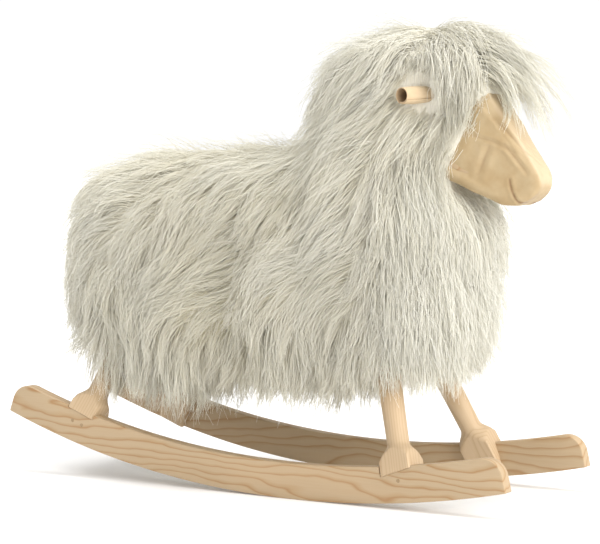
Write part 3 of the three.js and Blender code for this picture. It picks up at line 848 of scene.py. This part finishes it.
def makeBellyCloth():
    low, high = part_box("belly_cloth")
    cols, rows = 90, 30
    thickness = high.z - low.z
    holes = []
    for plan in legPlans:
        direction = plan["frame"].to_3x3() @ up
        at = plan["frame"].translation
        holes.append(at + direction * ((high.z - at.z) / direction.z))
    verts = []
    for i in range(cols + 1):
        for j in range(rows + 1):
            x = along(low.x, high.x, i / cols)
            y = along(low.y, high.y, j / rows)
            sag = -0.0025 * math.sin(math.pi * i / cols) * math.sin(math.pi * j / rows)
            ripple = 0.0005 * noise.noise(Vector((x * 30, y * 50, 0)))
            verts.append(Vector((x, y, high.z - 0.0003 + sag + ripple)))
    faces = []
    for i in range(cols):
        for j in range(rows):
            a = i * (rows + 1) + j
            quad = (a, a + rows + 1, a + rows + 2, a + 1)
            middle = sum((verts[k] for k in quad), Vector()) / 4
            clear = min(Vector((middle.x - h.x, middle.y - h.y, 0)).length for h in holes)
            if clear > leg["thigh"] + 0.004:
                faces.append(quad)
    obj = newPiece("belly_lining", verts, faces, liningCloth)
    with editing(obj) as bm:
        loose = [v for v in bm.verts if not v.link_faces]
        bmesh.ops.delete(bm, geom=loose, context="VERTS")
    modify(obj, "wall", "SOLIDIFY", thickness=thickness * 0.6, offset=-1)
    bake(obj)
    dress(obj, liningCloth, 40)
    declare(obj, ["belly_cloth"])


makePad("body_pad", "body_cushion")
makePad("neck_pad", "neck_cushion")
makeBellyCloth()
print("pads and belly cloth made")


fleece = {
    "rear": -0.334, "front": 0.222, "width": 0.312, "back": 0.463,
    "under": 0.017,       # the skin lies this far inside the outline of the wool
    "hang": 0.128,        # lowest skin of the body
    "side": 0.1735,       # the farthest a hair may stand from the middle
    "ahead": 0.4185,      # the farthest a hair may reach forward
    "voxel": 0.0085, "lockEvery": 0.0185, "seed": 11,
    "lumps": 0.010,       # height of the broad swells in the pile
    "valley": 0.11,       # how far the body draws in behind the shoulder
    # where the tips of the fringe end: place along the sheep, height
    "fringeLine": [(-0.38, 0.300), (-0.345, 0.225), (-0.315, 0.168), (-0.28, 0.122), (-0.23, 0.098),
                   (-0.11, 0.094), (-0.04, 0.136), (0.02, 0.120), (0.07, 0.115), (0.145, 0.126),
                   (0.20, 0.138), (0.25, 0.152), (0.285, 0.180), (0.31, 0.205)],
    "tuck": 0.034,        # how far the rump draws in towards the fringe
}
# level sections of neck and crown: height, rear, front, width
neckSections = [
    (0.166, 0.110, 0.240, 0.168), (0.186, 0.070, 0.283, 0.252), (0.250, 0.044, 0.298, 0.291),
    (0.330, 0.030, 0.303, 0.300), (0.372, 0.030, 0.301, 0.291), (0.398, 0.030, 0.281, 0.276),
    (0.425, 0.032, 0.265, 0.255), (0.465, 0.038, 0.271, 0.226), (0.505, 0.050, 0.291, 0.187),
    (0.545, 0.070, 0.309, 0.156), (0.580, 0.096, 0.306, 0.131), (0.608, 0.138, 0.283, 0.094),
    (0.623, 0.190, 0.258, 0.039),
]


# the wool on the head ends at a slanting line, in front of which the leather is bare
faceEdge = {
    "at": Vector((0.264, 0, 0.434)), "facing": Vector((0.873, 0, -0.487)), "top": 0.548, "chin": 0.375,
}


def power(value, exponent):
    return math.copysign(abs(value) ** exponent, value)


def loft(rings):
    count = len(rings[0])
    verts = [p for ring in rings for p in ring]
    faces = closedRings(count, len(rings))
    faces += [tuple(range(count - 1, -1, -1)), tuple(range((len(rings) - 1) * count, len(rings) * count))]
    return verts, faces


earAxes = [earAxis(side) for side in (1, -1)]


def makeSkin():
    inset = fleece["under"]
    around = 48
    low, high = fleece["hang"], fleece["back"] - inset
    rear, front = fleece["rear"] + inset, fleece["front"] - inset
    rings = []
    for i in range(1, 40):
        t = -math.cos(math.pi * i / 40)
        full = (1 - abs(t) ** 3.2) ** (1 / 3.2)
        ring = []
        for j in range(around):
            a = 2 * math.pi * j / around
            ring.append((along(rear, front, (t + 1) / 2),
                         (fleece["width"] / 2 - inset) * full * power(math.sin(a), 0.8),
                         (low + high) / 2 - (high - low) / 2 * full * power(math.cos(a), 0.8)))
        rings.append(ring)
    body = outward(newPiece("undercoat", *loft(rings)))
    rings = []
    for z, back, face, width in neckSections:
        ring = []
        deep = along(inset, 0.008, float(smooth(0.49, 0.55, z)))
        for j in range(around):
            a = 2 * math.pi * j / around
            ring.append(((back + face) / 2 + ((face - back) / 2 - deep) * power(math.sin(a), 0.95),
                         -max(0.006, width / 2 - deep) * power(math.cos(a), 0.95),
                         z if z < 0.6 else z - 0.012))
        rings.append(ring)
    neck = outward(newPiece("neck", *loft(rings)))
    cut(body, neck, "UNION")
    hood = headSolid("hood", 0.0085)
    facing = faceEdge["facing"].to_track_quat("Z", "Y").to_matrix().to_4x4()
    cut(hood, boxTool((-1, -1, 0), (1, 1, 1), Matrix.Translation(faceEdge["at"]) @ facing))
    cut(body, hood, "UNION")
    remeshed(body, fleece["voxel"], 14, 0.5)
    for v in body.data.vertices:
        swell = noise.noise(v.co * 11) + 0.45 * noise.noise(v.co * 24)
        calm = float(smooth(0.20, 0.26, v.co.x)) * 0.6
        onHead = float(smooth(0.46, 0.52, v.co.z))
        v.co += v.normal * (fleece["lumps"] * (1 - calm) * (1 - 0.8 * onHead) * swell)
        for root, out in earAxes:
            v.co.y *= 1 - 0.13 * math.exp(-((v.co - root - out * 0.02).length / 0.026) ** 2)
        behind = math.exp(-((v.co.x + 0.015) / 0.045) ** 2)
        v.co.y *= 1 - fleece["valley"] * behind * (1 - float(smooth(0.36, 0.44, v.co.z)))
        hem = 1 - smooth(0.14, 0.28, v.co.z)
        v.co.x += fleece["tuck"] * float(hem * (1 - smooth(-0.31, -0.20, v.co.x)))
        if v.co.z < 0.2:
            notch = 0.026 * math.exp(-((v.co.x + 0.035) / 0.05) ** 2)
            v.co.z += notch * (0.2 - v.co.z) / 0.07
    body.data.update()
    return body


skin = makeSkin()
skinTree = BVHTree.FromObject(skin, bpy.context.evaluated_depsgraph_get())
print("skin made", len(skin.data.polygons))

headTree = BVHTree.FromObject(bpy.data.objects["muzzle_leather"], bpy.context.evaluated_depsgraph_get())


def unit(v):
    length = math.sqrt(v[0] * v[0] + v[1] * v[1] + v[2] * v[2])
    return v / max(length, 1e-9)


# which way the wool lies: along the sheep, outwards, up
combWays = {
    "flank": (-0.50, 0.05, -0.87), "back": (-0.80, 0.50, -0.42), "rump": (-0.72, 0.22, -0.66),
    "neck": (-0.66, 0.16, -0.72), "chest": (0.0, 0.03, -1.0), "cheek": (-0.12, 0.10, -0.98),
    "crown": (-0.86, 0.42, -0.30), "brow": (0.90, 0.16, -0.38), "temple": (-0.38, 0.30, -0.86),
}


def combAt(p):
    x, y, z = p
    side = max(-1, min(1, y / 0.045))
    crown = float(smooth(0.50, 0.575, z) * smooth(0.02, 0.10, x))
    neck = float(smooth(0.30, 0.46, z) * smooth(-0.02, 0.07, x)) * (1 - crown)
    chest = float(smooth(0.15, 0.235, x) * (1 - smooth(0.42, 0.50, z)))
    back = float(smooth(0.36, 0.43, z) * (1 - smooth(-0.02, 0.07, x)))
    rump = float(1 - smooth(-0.30, -0.16, x))
    ways = {name: np.array((dx, dy * side, dz)) for name, (dx, dy, dz) in combWays.items()}
    d = ways["flank"]
    for name, share in (("back", back), ("rump", rump * 0.7), ("neck", neck), ("chest", chest)):
        d = along(d, ways[name], share)
    if crown > 0:
        ahead = float(smooth(0.225, 0.262, x))
        lie = along(ways["crown"], ways["brow"], ahead)
        lie = along(lie, ways["temple"], float(smooth(0.030, 0.062, abs(y))) * (1 - ahead))
        d = along(d, lie, crown)
    cheek = float(smooth(0.245, 0.275, x) * smooth(0.43, 0.47, z) * smooth(0.026, 0.042, abs(y)))
    d = along(d, ways["cheek"], cheek)
    sway = noise.noise(Vector(p) * 8 + Vector((3, 1, 7)))
    swirl = noise.noise(Vector(p) * 21 + Vector((9, 2, 5)))
    turn = (0.95 * sway + 0.85 * swirl) * (1 - 0.7 * chest)
    d = unit(d)
    flat = np.array((-d[2], 0, d[0]))
    return unit(d * math.cos(turn) + flat * math.sin(turn))


def fringeAt(x):
    places, heights = zip(*fleece["fringeLine"])
    return float(np.interp(x, places, heights))


def lockLength(p):
    x, y, z = p
    base = along(0.088, 0.100, float(1 - smooth(-0.28, -0.12, x)))
    base = along(base, 0.104, float(smooth(0.05, 0.12, x) * smooth(0.30, 0.44, z)))
    base = along(base, 0.070, float(1 - smooth(0.13, 0.23, z)))
    base = along(base, 0.075, float(smooth(0.16, 0.24, x) * (1 - smooth(0.22, 0.32, z))))
    base = along(base, 0.105, float(smooth(0.57, 0.60, z)))
    face = smooth(0.245, 0.275, x) * smooth(0.42, 0.46, z) * (1 - smooth(0.53, 0.57, z))
    return along(base, 0.062, float(face))


earLines = []
for side in (1, -1):
    start = np.array((ear["root"][0], side * ear["root"][1], ear["root"][2]))
    out = unit(np.array((ear["sweep"][0], side * ear["sweep"][1], ear["sweep"][2])))
    earLines.append((start + out * 0.004, start + out * (ear["length"] + 0.004)))


def earDistance(p):
    return min(np.linalg.norm(p - (a + np.clip((p - a) @ (b - a) / ((b - a) @ (b - a)), 0, 1) * (b - a)))
               for a, b in earLines)


def onFace(p, reach=0.014):
    # the bare leather in front of the wool
    ahead = (Vector(p) - faceEdge["at"]).dot(faceEdge["facing"])
    if ahead < 0.002 or not faceEdge["chin"] < p[2] < faceEdge["top"]:
        return False
    return headTree.find_nearest(Vector(p))[3] < reach


lock = {
    "points": 9, "rise": 0.60, "loft": 0.014, "gravity": 0.42,
}


def nearest(surface, p):
    # the nearest place, which way it faces, how high p stands over it and how far off it is
    near, facing, _, away = surface.find_nearest(Vector(p))
    near, facing = np.array(near), np.array(facing)
    return near, facing, float((p - near) @ facing), away


def forelockPath(root, normal, rng):
    # thrown forward over the brow, then falling in front of the face
    middle = 1 - float(smooth(0.016, 0.034, abs(root[1] + rng.uniform(-0.006, 0.006))))
    length = along(rng.uniform(0.060, 0.090), rng.uniform(0.10, 0.17), middle)
    side = math.copysign(1, root[1])
    fan = along(side * 0.75, root[1] * 4 + rng.uniform(-0.25, 0.30), middle)
    heading = unit(np.array((along(0.42, 0.92, middle), fan, rng.uniform(-0.25, 0.18))) + normal * 0.35)
    comb = heading.copy()
    step = length / (lock["points"] - 1)
    fall = rng.uniform(0.16, 0.30) + 0.25 * (1 - middle)
    p = root - normal * 0.004
    path = [p.copy()]
    for i in range(1, lock["points"]):
        t = i / (lock["points"] - 1)
        heading = unit(heading + np.array((-0.03, 0, -fall)))
        p = p + heading * step
        for surface, clear in ((skinTree, 0.005), (headTree, 0.005 + 0.012 * t)):
            near, facing, height, away = nearest(surface, p)
            if height < clear and away < 0.05:
                p = near + facing * clear
        path.append(p.copy())
    return path, comb, normal, length


def lockPath(root, normal, rng):
    if root[2] > 0.555 and root[0] > 0.222 + rng.uniform(-0.02, 0.012):
        return forelockPath(root, normal, rng)
    comb = combAt(root)
    comb = unit(comb - normal * float(comb @ normal) * 0.85)
    length = lockLength(root) * rng.uniform(0.80, 1.22)
    manner = rng.random()
    fly = manner < 0.12
    wild = manner > 0.72
    step = length / (lock["points"] - 1)
    rise = lock["rise"] * rng.uniform(0.75, 1.35) * (2.0 if fly else 1)
    calm = float(smooth(0.17, 0.25, root[0]) * (1 - smooth(0.43, 0.50, root[2])))
    veer = rng.normal(0, 0.55 if wild else 0.16) * (1 - 0.6 * calm)
    comb = unit(comb * math.cos(veer) + np.cross(normal, comb) * math.sin(veer))
    p = root - normal * 0.004
    path = [p.copy()]
    heading = unit(comb + normal * rise)
    loftHere = lock["loft"] * rng.uniform(0.55, 1.5) * (2.2 if fly else 1) * (1 - 0.35 * calm)
    bend = rng.normal(0, 0.9 if wild else 0.35) * (1 - 0.6 * calm)
    lowest = rng.uniform(-0.012, 0.020) - (0.024 if manner > 0.86 else 0)
    for i in range(1, lock["points"]):
        t = i / (lock["points"] - 1)
        near, nrm, height, away = nearest(skinTree, p)
        local = combAt(near)
        tangent = unit(local - nrm * float(local @ nrm))
        falling = unit(np.array((0, 0, -1)) - nrm * float(-nrm[2])) if abs(nrm[2]) < 0.97 else tangent
        want = along(tangent, falling, lock["gravity"] * t)
        if nrm[2] < -0.15:
            want = along(want, np.array((local[0] * 0.5, 0, -1.0)), min(1, -nrm[2] * 1.6))
        sideways = np.cross(nrm, tangent)
        want = unit(want + sideways * bend * (t - 0.3))
        heading = unit(along(heading, want, 0.42))
        p = p + heading * step
        near, nrm, height, away = nearest(skinTree, p)
        low = 0.003 + 0.006 * min(1, t * 2)
        top = loftHere * (0.35 + 0.9 * t) + 0.006
        if height < low:
            p = near + nrm * low
        elif height > top and nrm[2] > -0.15:
            p = p - nrm * (height - top) * 0.55
        if p[0] > 0.22 and p[2] > 0.37:
            near, nrm, height, away = nearest(headTree, p)
            clear = 0.004 + 0.004 * t
            if height < clear and away < 0.04:
                p = near + nrm * clear
        if p[2] < fringeAt(p[0]) + lowest:
            break
        path.append(p.copy())
    return path, comb, normal, length


def regionOf(root):
    x, y, z = root
    side = "left" if y > 0 else "right"
    if z > 0.565 and x > 0.06:
        return "forelock" if x > 0.235 else f"crown_{side}"
    if x > 0.03 and z > 0.455:
        return f"neck_{side}"
    if x > 0.215 and z > 0.13:
        return f"chest_{side}"
    if x > 0.03:
        return f"shoulder_{side}" if z > 0.285 else f"elbow_{side}"
    if x < -0.215:
        return f"rump_{side}" if z > 0.25 else f"haunch_{side}"
    if z > 0.40:
        return f"back_{side}"
    return f"flank_{side}" if z > 0.235 else f"belly_{side}"


def spacing(p):
    onHead = smooth(0.46, 0.52, p[2]) * smooth(0.06, 0.16, p[0])
    return fleece["lockEvery"] * along(1.0, 0.62, float(onHead))


def scatterRoots(every, rng):
    mesh = skin.data
    mesh.calc_loop_triangles()
    tris = np.array([t.vertices[:] for t in mesh.loop_triangles])
    co = np.array([v.co[:] for v in mesh.vertices])
    a, b, c = co[tris[:, 0]], co[tris[:, 1]], co[tris[:, 2]]
    cross = np.cross(b - a, c - a)
    area = np.linalg.norm(cross, axis=1) / 2
    normals = cross / (2 * area[:, None])
    wanted = int(area.sum() / every ** 2 * 9)
    pick = rng.choice(len(tris), wanted, p=area / area.sum())
    r1 = np.sqrt(rng.random(wanted))[:, None]
    r2 = rng.random(wanted)[:, None]
    points = a[pick] * (1 - r1) + b[pick] * r1 * (1 - r2) + c[pick] * r1 * r2
    cells = {}
    kept = []
    for i, p in enumerate(points):
        key = tuple((p // every).astype(int))
        close = False
        reach = (spacing(p) * 0.82) ** 2
        for dx in (-1, 0, 1):
            for dy in (-1, 0, 1):
                for dz in (-1, 0, 1):
                    for q in cells.get((key[0] + dx, key[1] + dy, key[2] + dz), ()):
                        if np.sum((q - p) ** 2) < reach:
                            close = True
        if not close:
            cells.setdefault(key, []).append(p)
            kept.append((p, normals[pick[i]]))
    return kept


def makeLocks():
    rng = np.random.default_rng(fleece["seed"])
    regions = {}
    for root, normal in scatterRoots(fleece["lockEvery"], rng):
        if normal[2] < -0.93 and rng.random() < 0.6:
            continue
        if earDistance(root) < ear["radius"] + 0.003 or onFace(root, 0.007):
            continue
        path, comb, lift, length = lockPath(root, normal, rng)
        tone = float(np.clip(0.5 + 0.5 * noise.noise(Vector(root) * 14) + rng.normal(0, 0.16), 0, 1))
        for i, p in enumerate(path):
            if earDistance(p) < ear["radius"] + 0.007 or (onFace(p) and root[2] < 0.55):
                path = path[:i]
                break
        if len(path) < 3:
            continue
        if onFace(path[-1]) and abs(root[1]) > 0.026:
            while len(path) > 3 and onFace(path[-1]):
                path.pop()
        room = min(earDistance(p) for p in path) - ear["radius"]
        narrow = float(np.clip((room - 0.002) / 0.020, 0.34, 1))
        calm = float(smooth(0.17, 0.25, root[0]) * (1 - smooth(0.43, 0.50, root[2])))
        crown = float(smooth(0.54, 0.58, root[2]))
        calmer = max(calm, 0.7 * crown)
        gather = along(rng.uniform(0.45, 0.95), rng.uniform(0.1, 0.4), calm)
        # painted shade in the valley behind the shoulder: darker roots and a lower tone there
        behind = math.exp(-((root[0] + 0.02) / 0.075) ** 2) * float(1 - smooth(0.36, 0.44, root[2]))
        shade = along(0.58 + 0.75 * behind, 0.05, calmer)
        tone = along(tone * (1 - 0.7 * behind), 0.75 + 0.25 * tone, calmer)
        if narrow < 0.5 and root[2] > ear["root"][2] > path[-1][2]:
            continue  # nothing hangs down over an ear
        regions.setdefault(regionOf(root), []).append((path, comb, lift, tone, gather, shade, narrow))
    return regions


woolLook = {
    "pale": (0.985, 0.975, 0.905), "cream": (0.94, 0.905, 0.765), "shade": (0.72, 0.655, 0.45),
    "undercoat": ((0.84, 0.80, 0.68), (0.94, 0.92, 0.84), (0.76, 0.71, 0.57)),
    "clear": 0.22,        # share of the light that comes through a hair
}


def woolMaterial(name, hair=True):
    n = Nodes(name)
    at = n.place()
    cloud = n.noise(at, 16, 3)
    pale, cream, shade = woolLook["pale"], woolLook["cream"], woolLook["shade"]
    if hair:
        tone = n.attribute("hairTone")
        place = n.attribute("hairPlace")
        lockTone = n.attribute("lockTone")
        blend = n.maths("ADD", n.maths("MULTIPLY", tone, 0.55), n.maths("MULTIPLY", lockTone, 0.45))
        colour = n.mix(blend, cream, pale)
        # painted shade: each hair darkens towards its root, by its lock's lockShade
        rootward = n.ramp(place, [(0.0, (1, 1, 1)), (0.45, (0.32, 0.32, 0.32)), (1.0, (0.08, 0.08, 0.08))])
        colour = n.mix(n.maths("MULTIPLY", rootward, n.attribute("lockShade")), colour, shade)
        colour = n.mix(n.maths("MULTIPLY", cloud, 0.2), colour, cream)
        n.letThrough(colour, woolLook["clear"])
        return n.finish(colour, 0.5, None, Specular_IOR_Level=0.3,
                        Sheen_Weight=0.6, Sheen_Roughness=0.5, Sheen_Tint=(1.0, 0.98, 0.92, 1.0))
    streak = n.noise(n.mapping(at, turn=(0, 0.5, 0), scale=(700, 700, 50)), 1.0, 3)
    # the undercoat is painted a little darker than the hairs, as painted shade deep in the pile
    dull, bright, root = woolLook["undercoat"]
    colour = n.mix(streak, dull, bright)
    colour = n.mix(n.maths("MULTIPLY", cloud, 0.3), colour, root)
    return n.finish(colour, 0.85, n.bump(streak, 0.8, 0.003), Specular_IOR_Level=0.1)


hairWool = woolMaterial("longWool")
skinWool = woolMaterial("undercoatWool", False)


hairLook = {
    "Hairs in a lock": 33, "Lock width": 0.0175, "Gathering": 1.0, "Waviness": 0.0046,
    "Hair thickness": 0.00042, "Tip thickness": 0.00014, "Shortest hair": 0.58,
    "Points along a hair": 6, "Flyaway height": 0.026, "Seed": 5,
}


def woolTree():
    # each lock's line becomes a bundle of hairs that gather at its tip
    tree = bpy.data.node_groups.new("woolLocks", "GeometryNodeTree")
    inputs = {}

    def addInput(name, kind, way="INPUT"):
        socket = tree.interface.new_socket(name, in_out=way, socket_type=f"NodeSocket{kind}")
        inputs[name] = socket.identifier
        return socket

    addInput("Geometry", "Geometry")
    for name, value in hairLook.items():
        addInput(name, "Int" if isinstance(value, int) else "Float").default_value = value
    addInput("Wool", "Material")
    addInput("Geometry", "Geometry", "OUTPUT")

    def add(kind, inputs=None, **settings):
        return addNode(tree, kind, inputs, **settings)

    def maths(operation, *values):
        return add("ShaderNodeMath", dict(enumerate(values)), operation=operation).outputs[0]

    def scaled(vector, amount):
        return add("ShaderNodeVectorMath", {0: vector, "Scale": amount}, operation="SCALE").outputs[0]

    def added(a, b):
        return add("ShaderNodeVectorMath", {0: a, 1: b}, operation="ADD").outputs[0]

    def named(name, kind="FLOAT"):
        return add("GeometryNodeInputNamedAttribute", {"Name": name}, data_type=kind).outputs["Attribute"]

    def stored(geometry, name, value, domain):
        inputs = {"Geometry": geometry, "Name": name, "Value": value}
        node = add("GeometryNodeStoreNamedAttribute", inputs, data_type="FLOAT", domain=domain)
        return node.outputs["Geometry"]

    start = add("NodeGroupInput").outputs
    curves = add("GeometryNodeMeshToCurve", {"Mesh": start["Geometry"]}).outputs["Curve"]
    copies = add("GeometryNodeDuplicateElements", {"Geometry": curves, "Amount": start["Hairs in a lock"]},
                 domain="SPLINE")
    # every hair gets its own five numbers
    index = add("GeometryNodeInputIndex").outputs[0]
    hairs = copies.outputs["Geometry"]
    lowest = {"diceA": -1, "diceB": -1, "diceC": 0, "hairTone": 0, "diceD": 0}
    for i, (name, low) in enumerate(lowest.items()):
        seed = maths("ADD", start["Seed"], i * 13)
        dice = add("FunctionNodeRandomValue", {2: low, 3: 1, "ID": index, "Seed": seed}, data_type="FLOAT")
        hairs = stored(hairs, name, dice.outputs[1], "CURVE")

    shortest = start["Shortest hair"]
    more = maths("MULTIPLY", maths("SUBTRACT", 1.0, shortest), named("diceD"))
    share = maths("ADD", shortest, more)
    trim = add("GeometryNodeTrimCurve", {"Curve": hairs, "End": share}, mode="FACTOR")
    finer = add("GeometryNodeResampleCurve",
                {"Count": start["Points along a hair"], "Curve": trim.outputs["Curve"]})

    # across the lock, the hairs spread and then gather; above it, a few fly away
    u = add("GeometryNodeSplineParameter").outputs["Factor"]
    gather = maths("MULTIPLY", start["Gathering"], maths("POWER", u, 0.8))
    gather = maths("MULTIPLY", gather, named("lockGather"))
    spread = maths("MULTIPLY", start["Lock width"], maths("SUBTRACT", 1.0, gather))
    spread = maths("MULTIPLY", spread, named("lockWidth"))
    alongWay = scaled(named("lockComb", "FLOAT_VECTOR"), maths("MULTIPLY", named("diceA"), spread))
    sideWay = scaled(named("lockSide", "FLOAT_VECTOR"), maths("MULTIPLY", named("diceB"), spread))
    astray = maths("GREATER_THAN", named("hairTone"), 0.82)
    height = maths("ADD", 0.006, maths("MULTIPLY", astray, start["Flyaway height"]))
    height = maths("MULTIPLY", named("diceC"), maths("MULTIPLY", u, height))
    liftWay = scaled(named("lockLift", "FLOAT_VECTOR"), height)
    where = add("GeometryNodeInputPosition").outputs[0]
    drift = maths("MULTIPLY", named("diceA"), 7.0)
    wild = add("ShaderNodeTexNoise", {"Vector": where, "W": drift, "Scale": 24, "Detail": 1},
               noise_dimensions="4D")
    centred = added(wild.outputs["Color"], (-0.5, -0.5, -0.5))
    strayness = maths("ADD", 1.0, maths("MULTIPLY", 3.5, astray))
    waviness = maths("MULTIPLY", u, maths("MULTIPLY", start["Waviness"], 3.0))
    wave = scaled(centred, maths("MULTIPLY", strayness, waviness))
    offset = added(added(alongWay, sideWay), added(liftWay, wave))
    moved = add("GeometryNodeSetPosition", {"Geometry": finer.outputs["Curve"], "Offset": offset})

    # no hair stands out further than the sides and the front of the sheep
    parts = add("ShaderNodeSeparateXYZ", {0: add("GeometryNodeInputPosition").outputs[0]}).outputs
    side = maths("MINIMUM", maths("MAXIMUM", parts["Y"], -fleece["side"]), fleece["side"])
    ahead = maths("MINIMUM", parts["X"], fleece["ahead"])
    joined = add("ShaderNodeCombineXYZ", {"X": ahead, "Y": side, "Z": parts["Z"]}).outputs[0]
    held = add("GeometryNodeSetPosition", {"Geometry": moved.outputs["Geometry"], "Position": joined})
    placed = stored(held.outputs["Geometry"], "hairPlace", u, "POINT")

    taper = maths("SUBTRACT", 1.0, maths("POWER", u, 1.8))
    thinning = maths("SUBTRACT", start["Hair thickness"], start["Tip thickness"])
    width = maths("ADD", start["Tip thickness"], maths("MULTIPLY", taper, thinning))
    radius = add("GeometryNodeSetCurveRadius", {"Curve": placed, "Radius": width})
    ring = add("GeometryNodeCurvePrimitiveCircle", {"Resolution": 3, "Radius": 1})
    tube = add("GeometryNodeCurveToMesh", {"Curve": radius.outputs["Curve"],
                                           "Profile Curve": ring.outputs["Curve"], "Fill Caps": True})
    if "Scale" in tube.inputs:
        tree.links.new(width, tube.inputs["Scale"])
    real = add("GeometryNodeRealizeInstances", {"Geometry": tube.outputs["Mesh"]})
    soft = add("GeometryNodeSetShadeSmooth", {"Geometry": real.outputs["Geometry"]})
    dressed = add("GeometryNodeSetMaterial",
                  {"Geometry": soft.outputs["Geometry"], "Material": start["Wool"]})
    add("NodeGroupOutput", {0: dressed.outputs["Geometry"]})
    return tree, inputs


tree, treeInputs = woolTree()


# where the coat is finer or shorter than the rest
finerWool = {
    "chest": {"Hairs in a lock": 56, "Points along a hair": 5, "Hair thickness": 0.00038},
    "elbow": {"Points along a hair": 5},
    "belly": {"Points along a hair": 5},
    "haunch": {"Points along a hair": 5},
}


def makeWool(region, locks):
    verts, edges = [], []
    combs, sides, lifts, tones, widths, gathers, shades = [], [], [], [], [], [], []
    for path, comb, lift, tone, gather, shade, narrow in locks:
        side = unit(np.cross(lift, comb))
        first = len(verts)
        for i, p in enumerate(path):
            verts.append(p)
            if i:
                edges.append((first + i - 1, first + i))
            combs.append(comb)
            sides.append(side)
            lifts.append(lift * np.array((1, 0.45, 1)))
            tones.append(tone)
            widths.append((0.8 + 0.5 * tone) * narrow)
            gathers.append(gather)
            shades.append(shade)
    obj = newPiece(f"wool_{region}", verts, [], None, edges)
    for name, values in (("lockComb", combs), ("lockSide", sides), ("lockLift", lifts)):
        paint(obj.data, name, values, "FLOAT_VECTOR")
    for name, values in (("lockTone", tones), ("lockWidth", widths), ("lockGather", gathers),
                         ("lockShade", shades)):
        paint(obj.data, name, values)
    grow = obj.modifiers.new("wool", "NODES")
    grow.node_group = tree
    grow[treeInputs["Wool"]] = hairWool
    for name, value in finerWool.get(region.split("_")[0], {}).items():
        grow[treeInputs[name]] = value
    bake(obj)
    for name in ("lockComb", "lockSide", "lockLift", "lockWidth", "lockGather",
                 "diceA", "diceB", "diceC", "diceD"):
        if name in obj.data.attributes:
            obj.data.attributes.remove(obj.data.attributes[name])
    return obj


panels = {
    "head_fleece": ("forelock", "crown"),
    "neck_fleece": ("neck", "chest", "shoulder", "elbow"),
    "body_fleece": ("rump", "haunch", "back", "flank", "belly"),
}
fleeceOf = {region: panel for panel, held in panels.items() for region in held}
regions = makeLocks()
total = 0
for region in sorted(regions):
    piece = makeWool(region, regions[region])
    count = sum(len(p.vertices) - 2 for p in piece.data.polygons)
    total += count
    print(region, len(regions[region]), "locks", count, "triangles")
    declare(piece, [fleeceOf[region.split("_")[0]]])
print("wool triangles", total)

dress(skin, skinWool)
declare(skin, ["body_fleece", "neck_fleece", "head_fleece"])
print("fleece made")
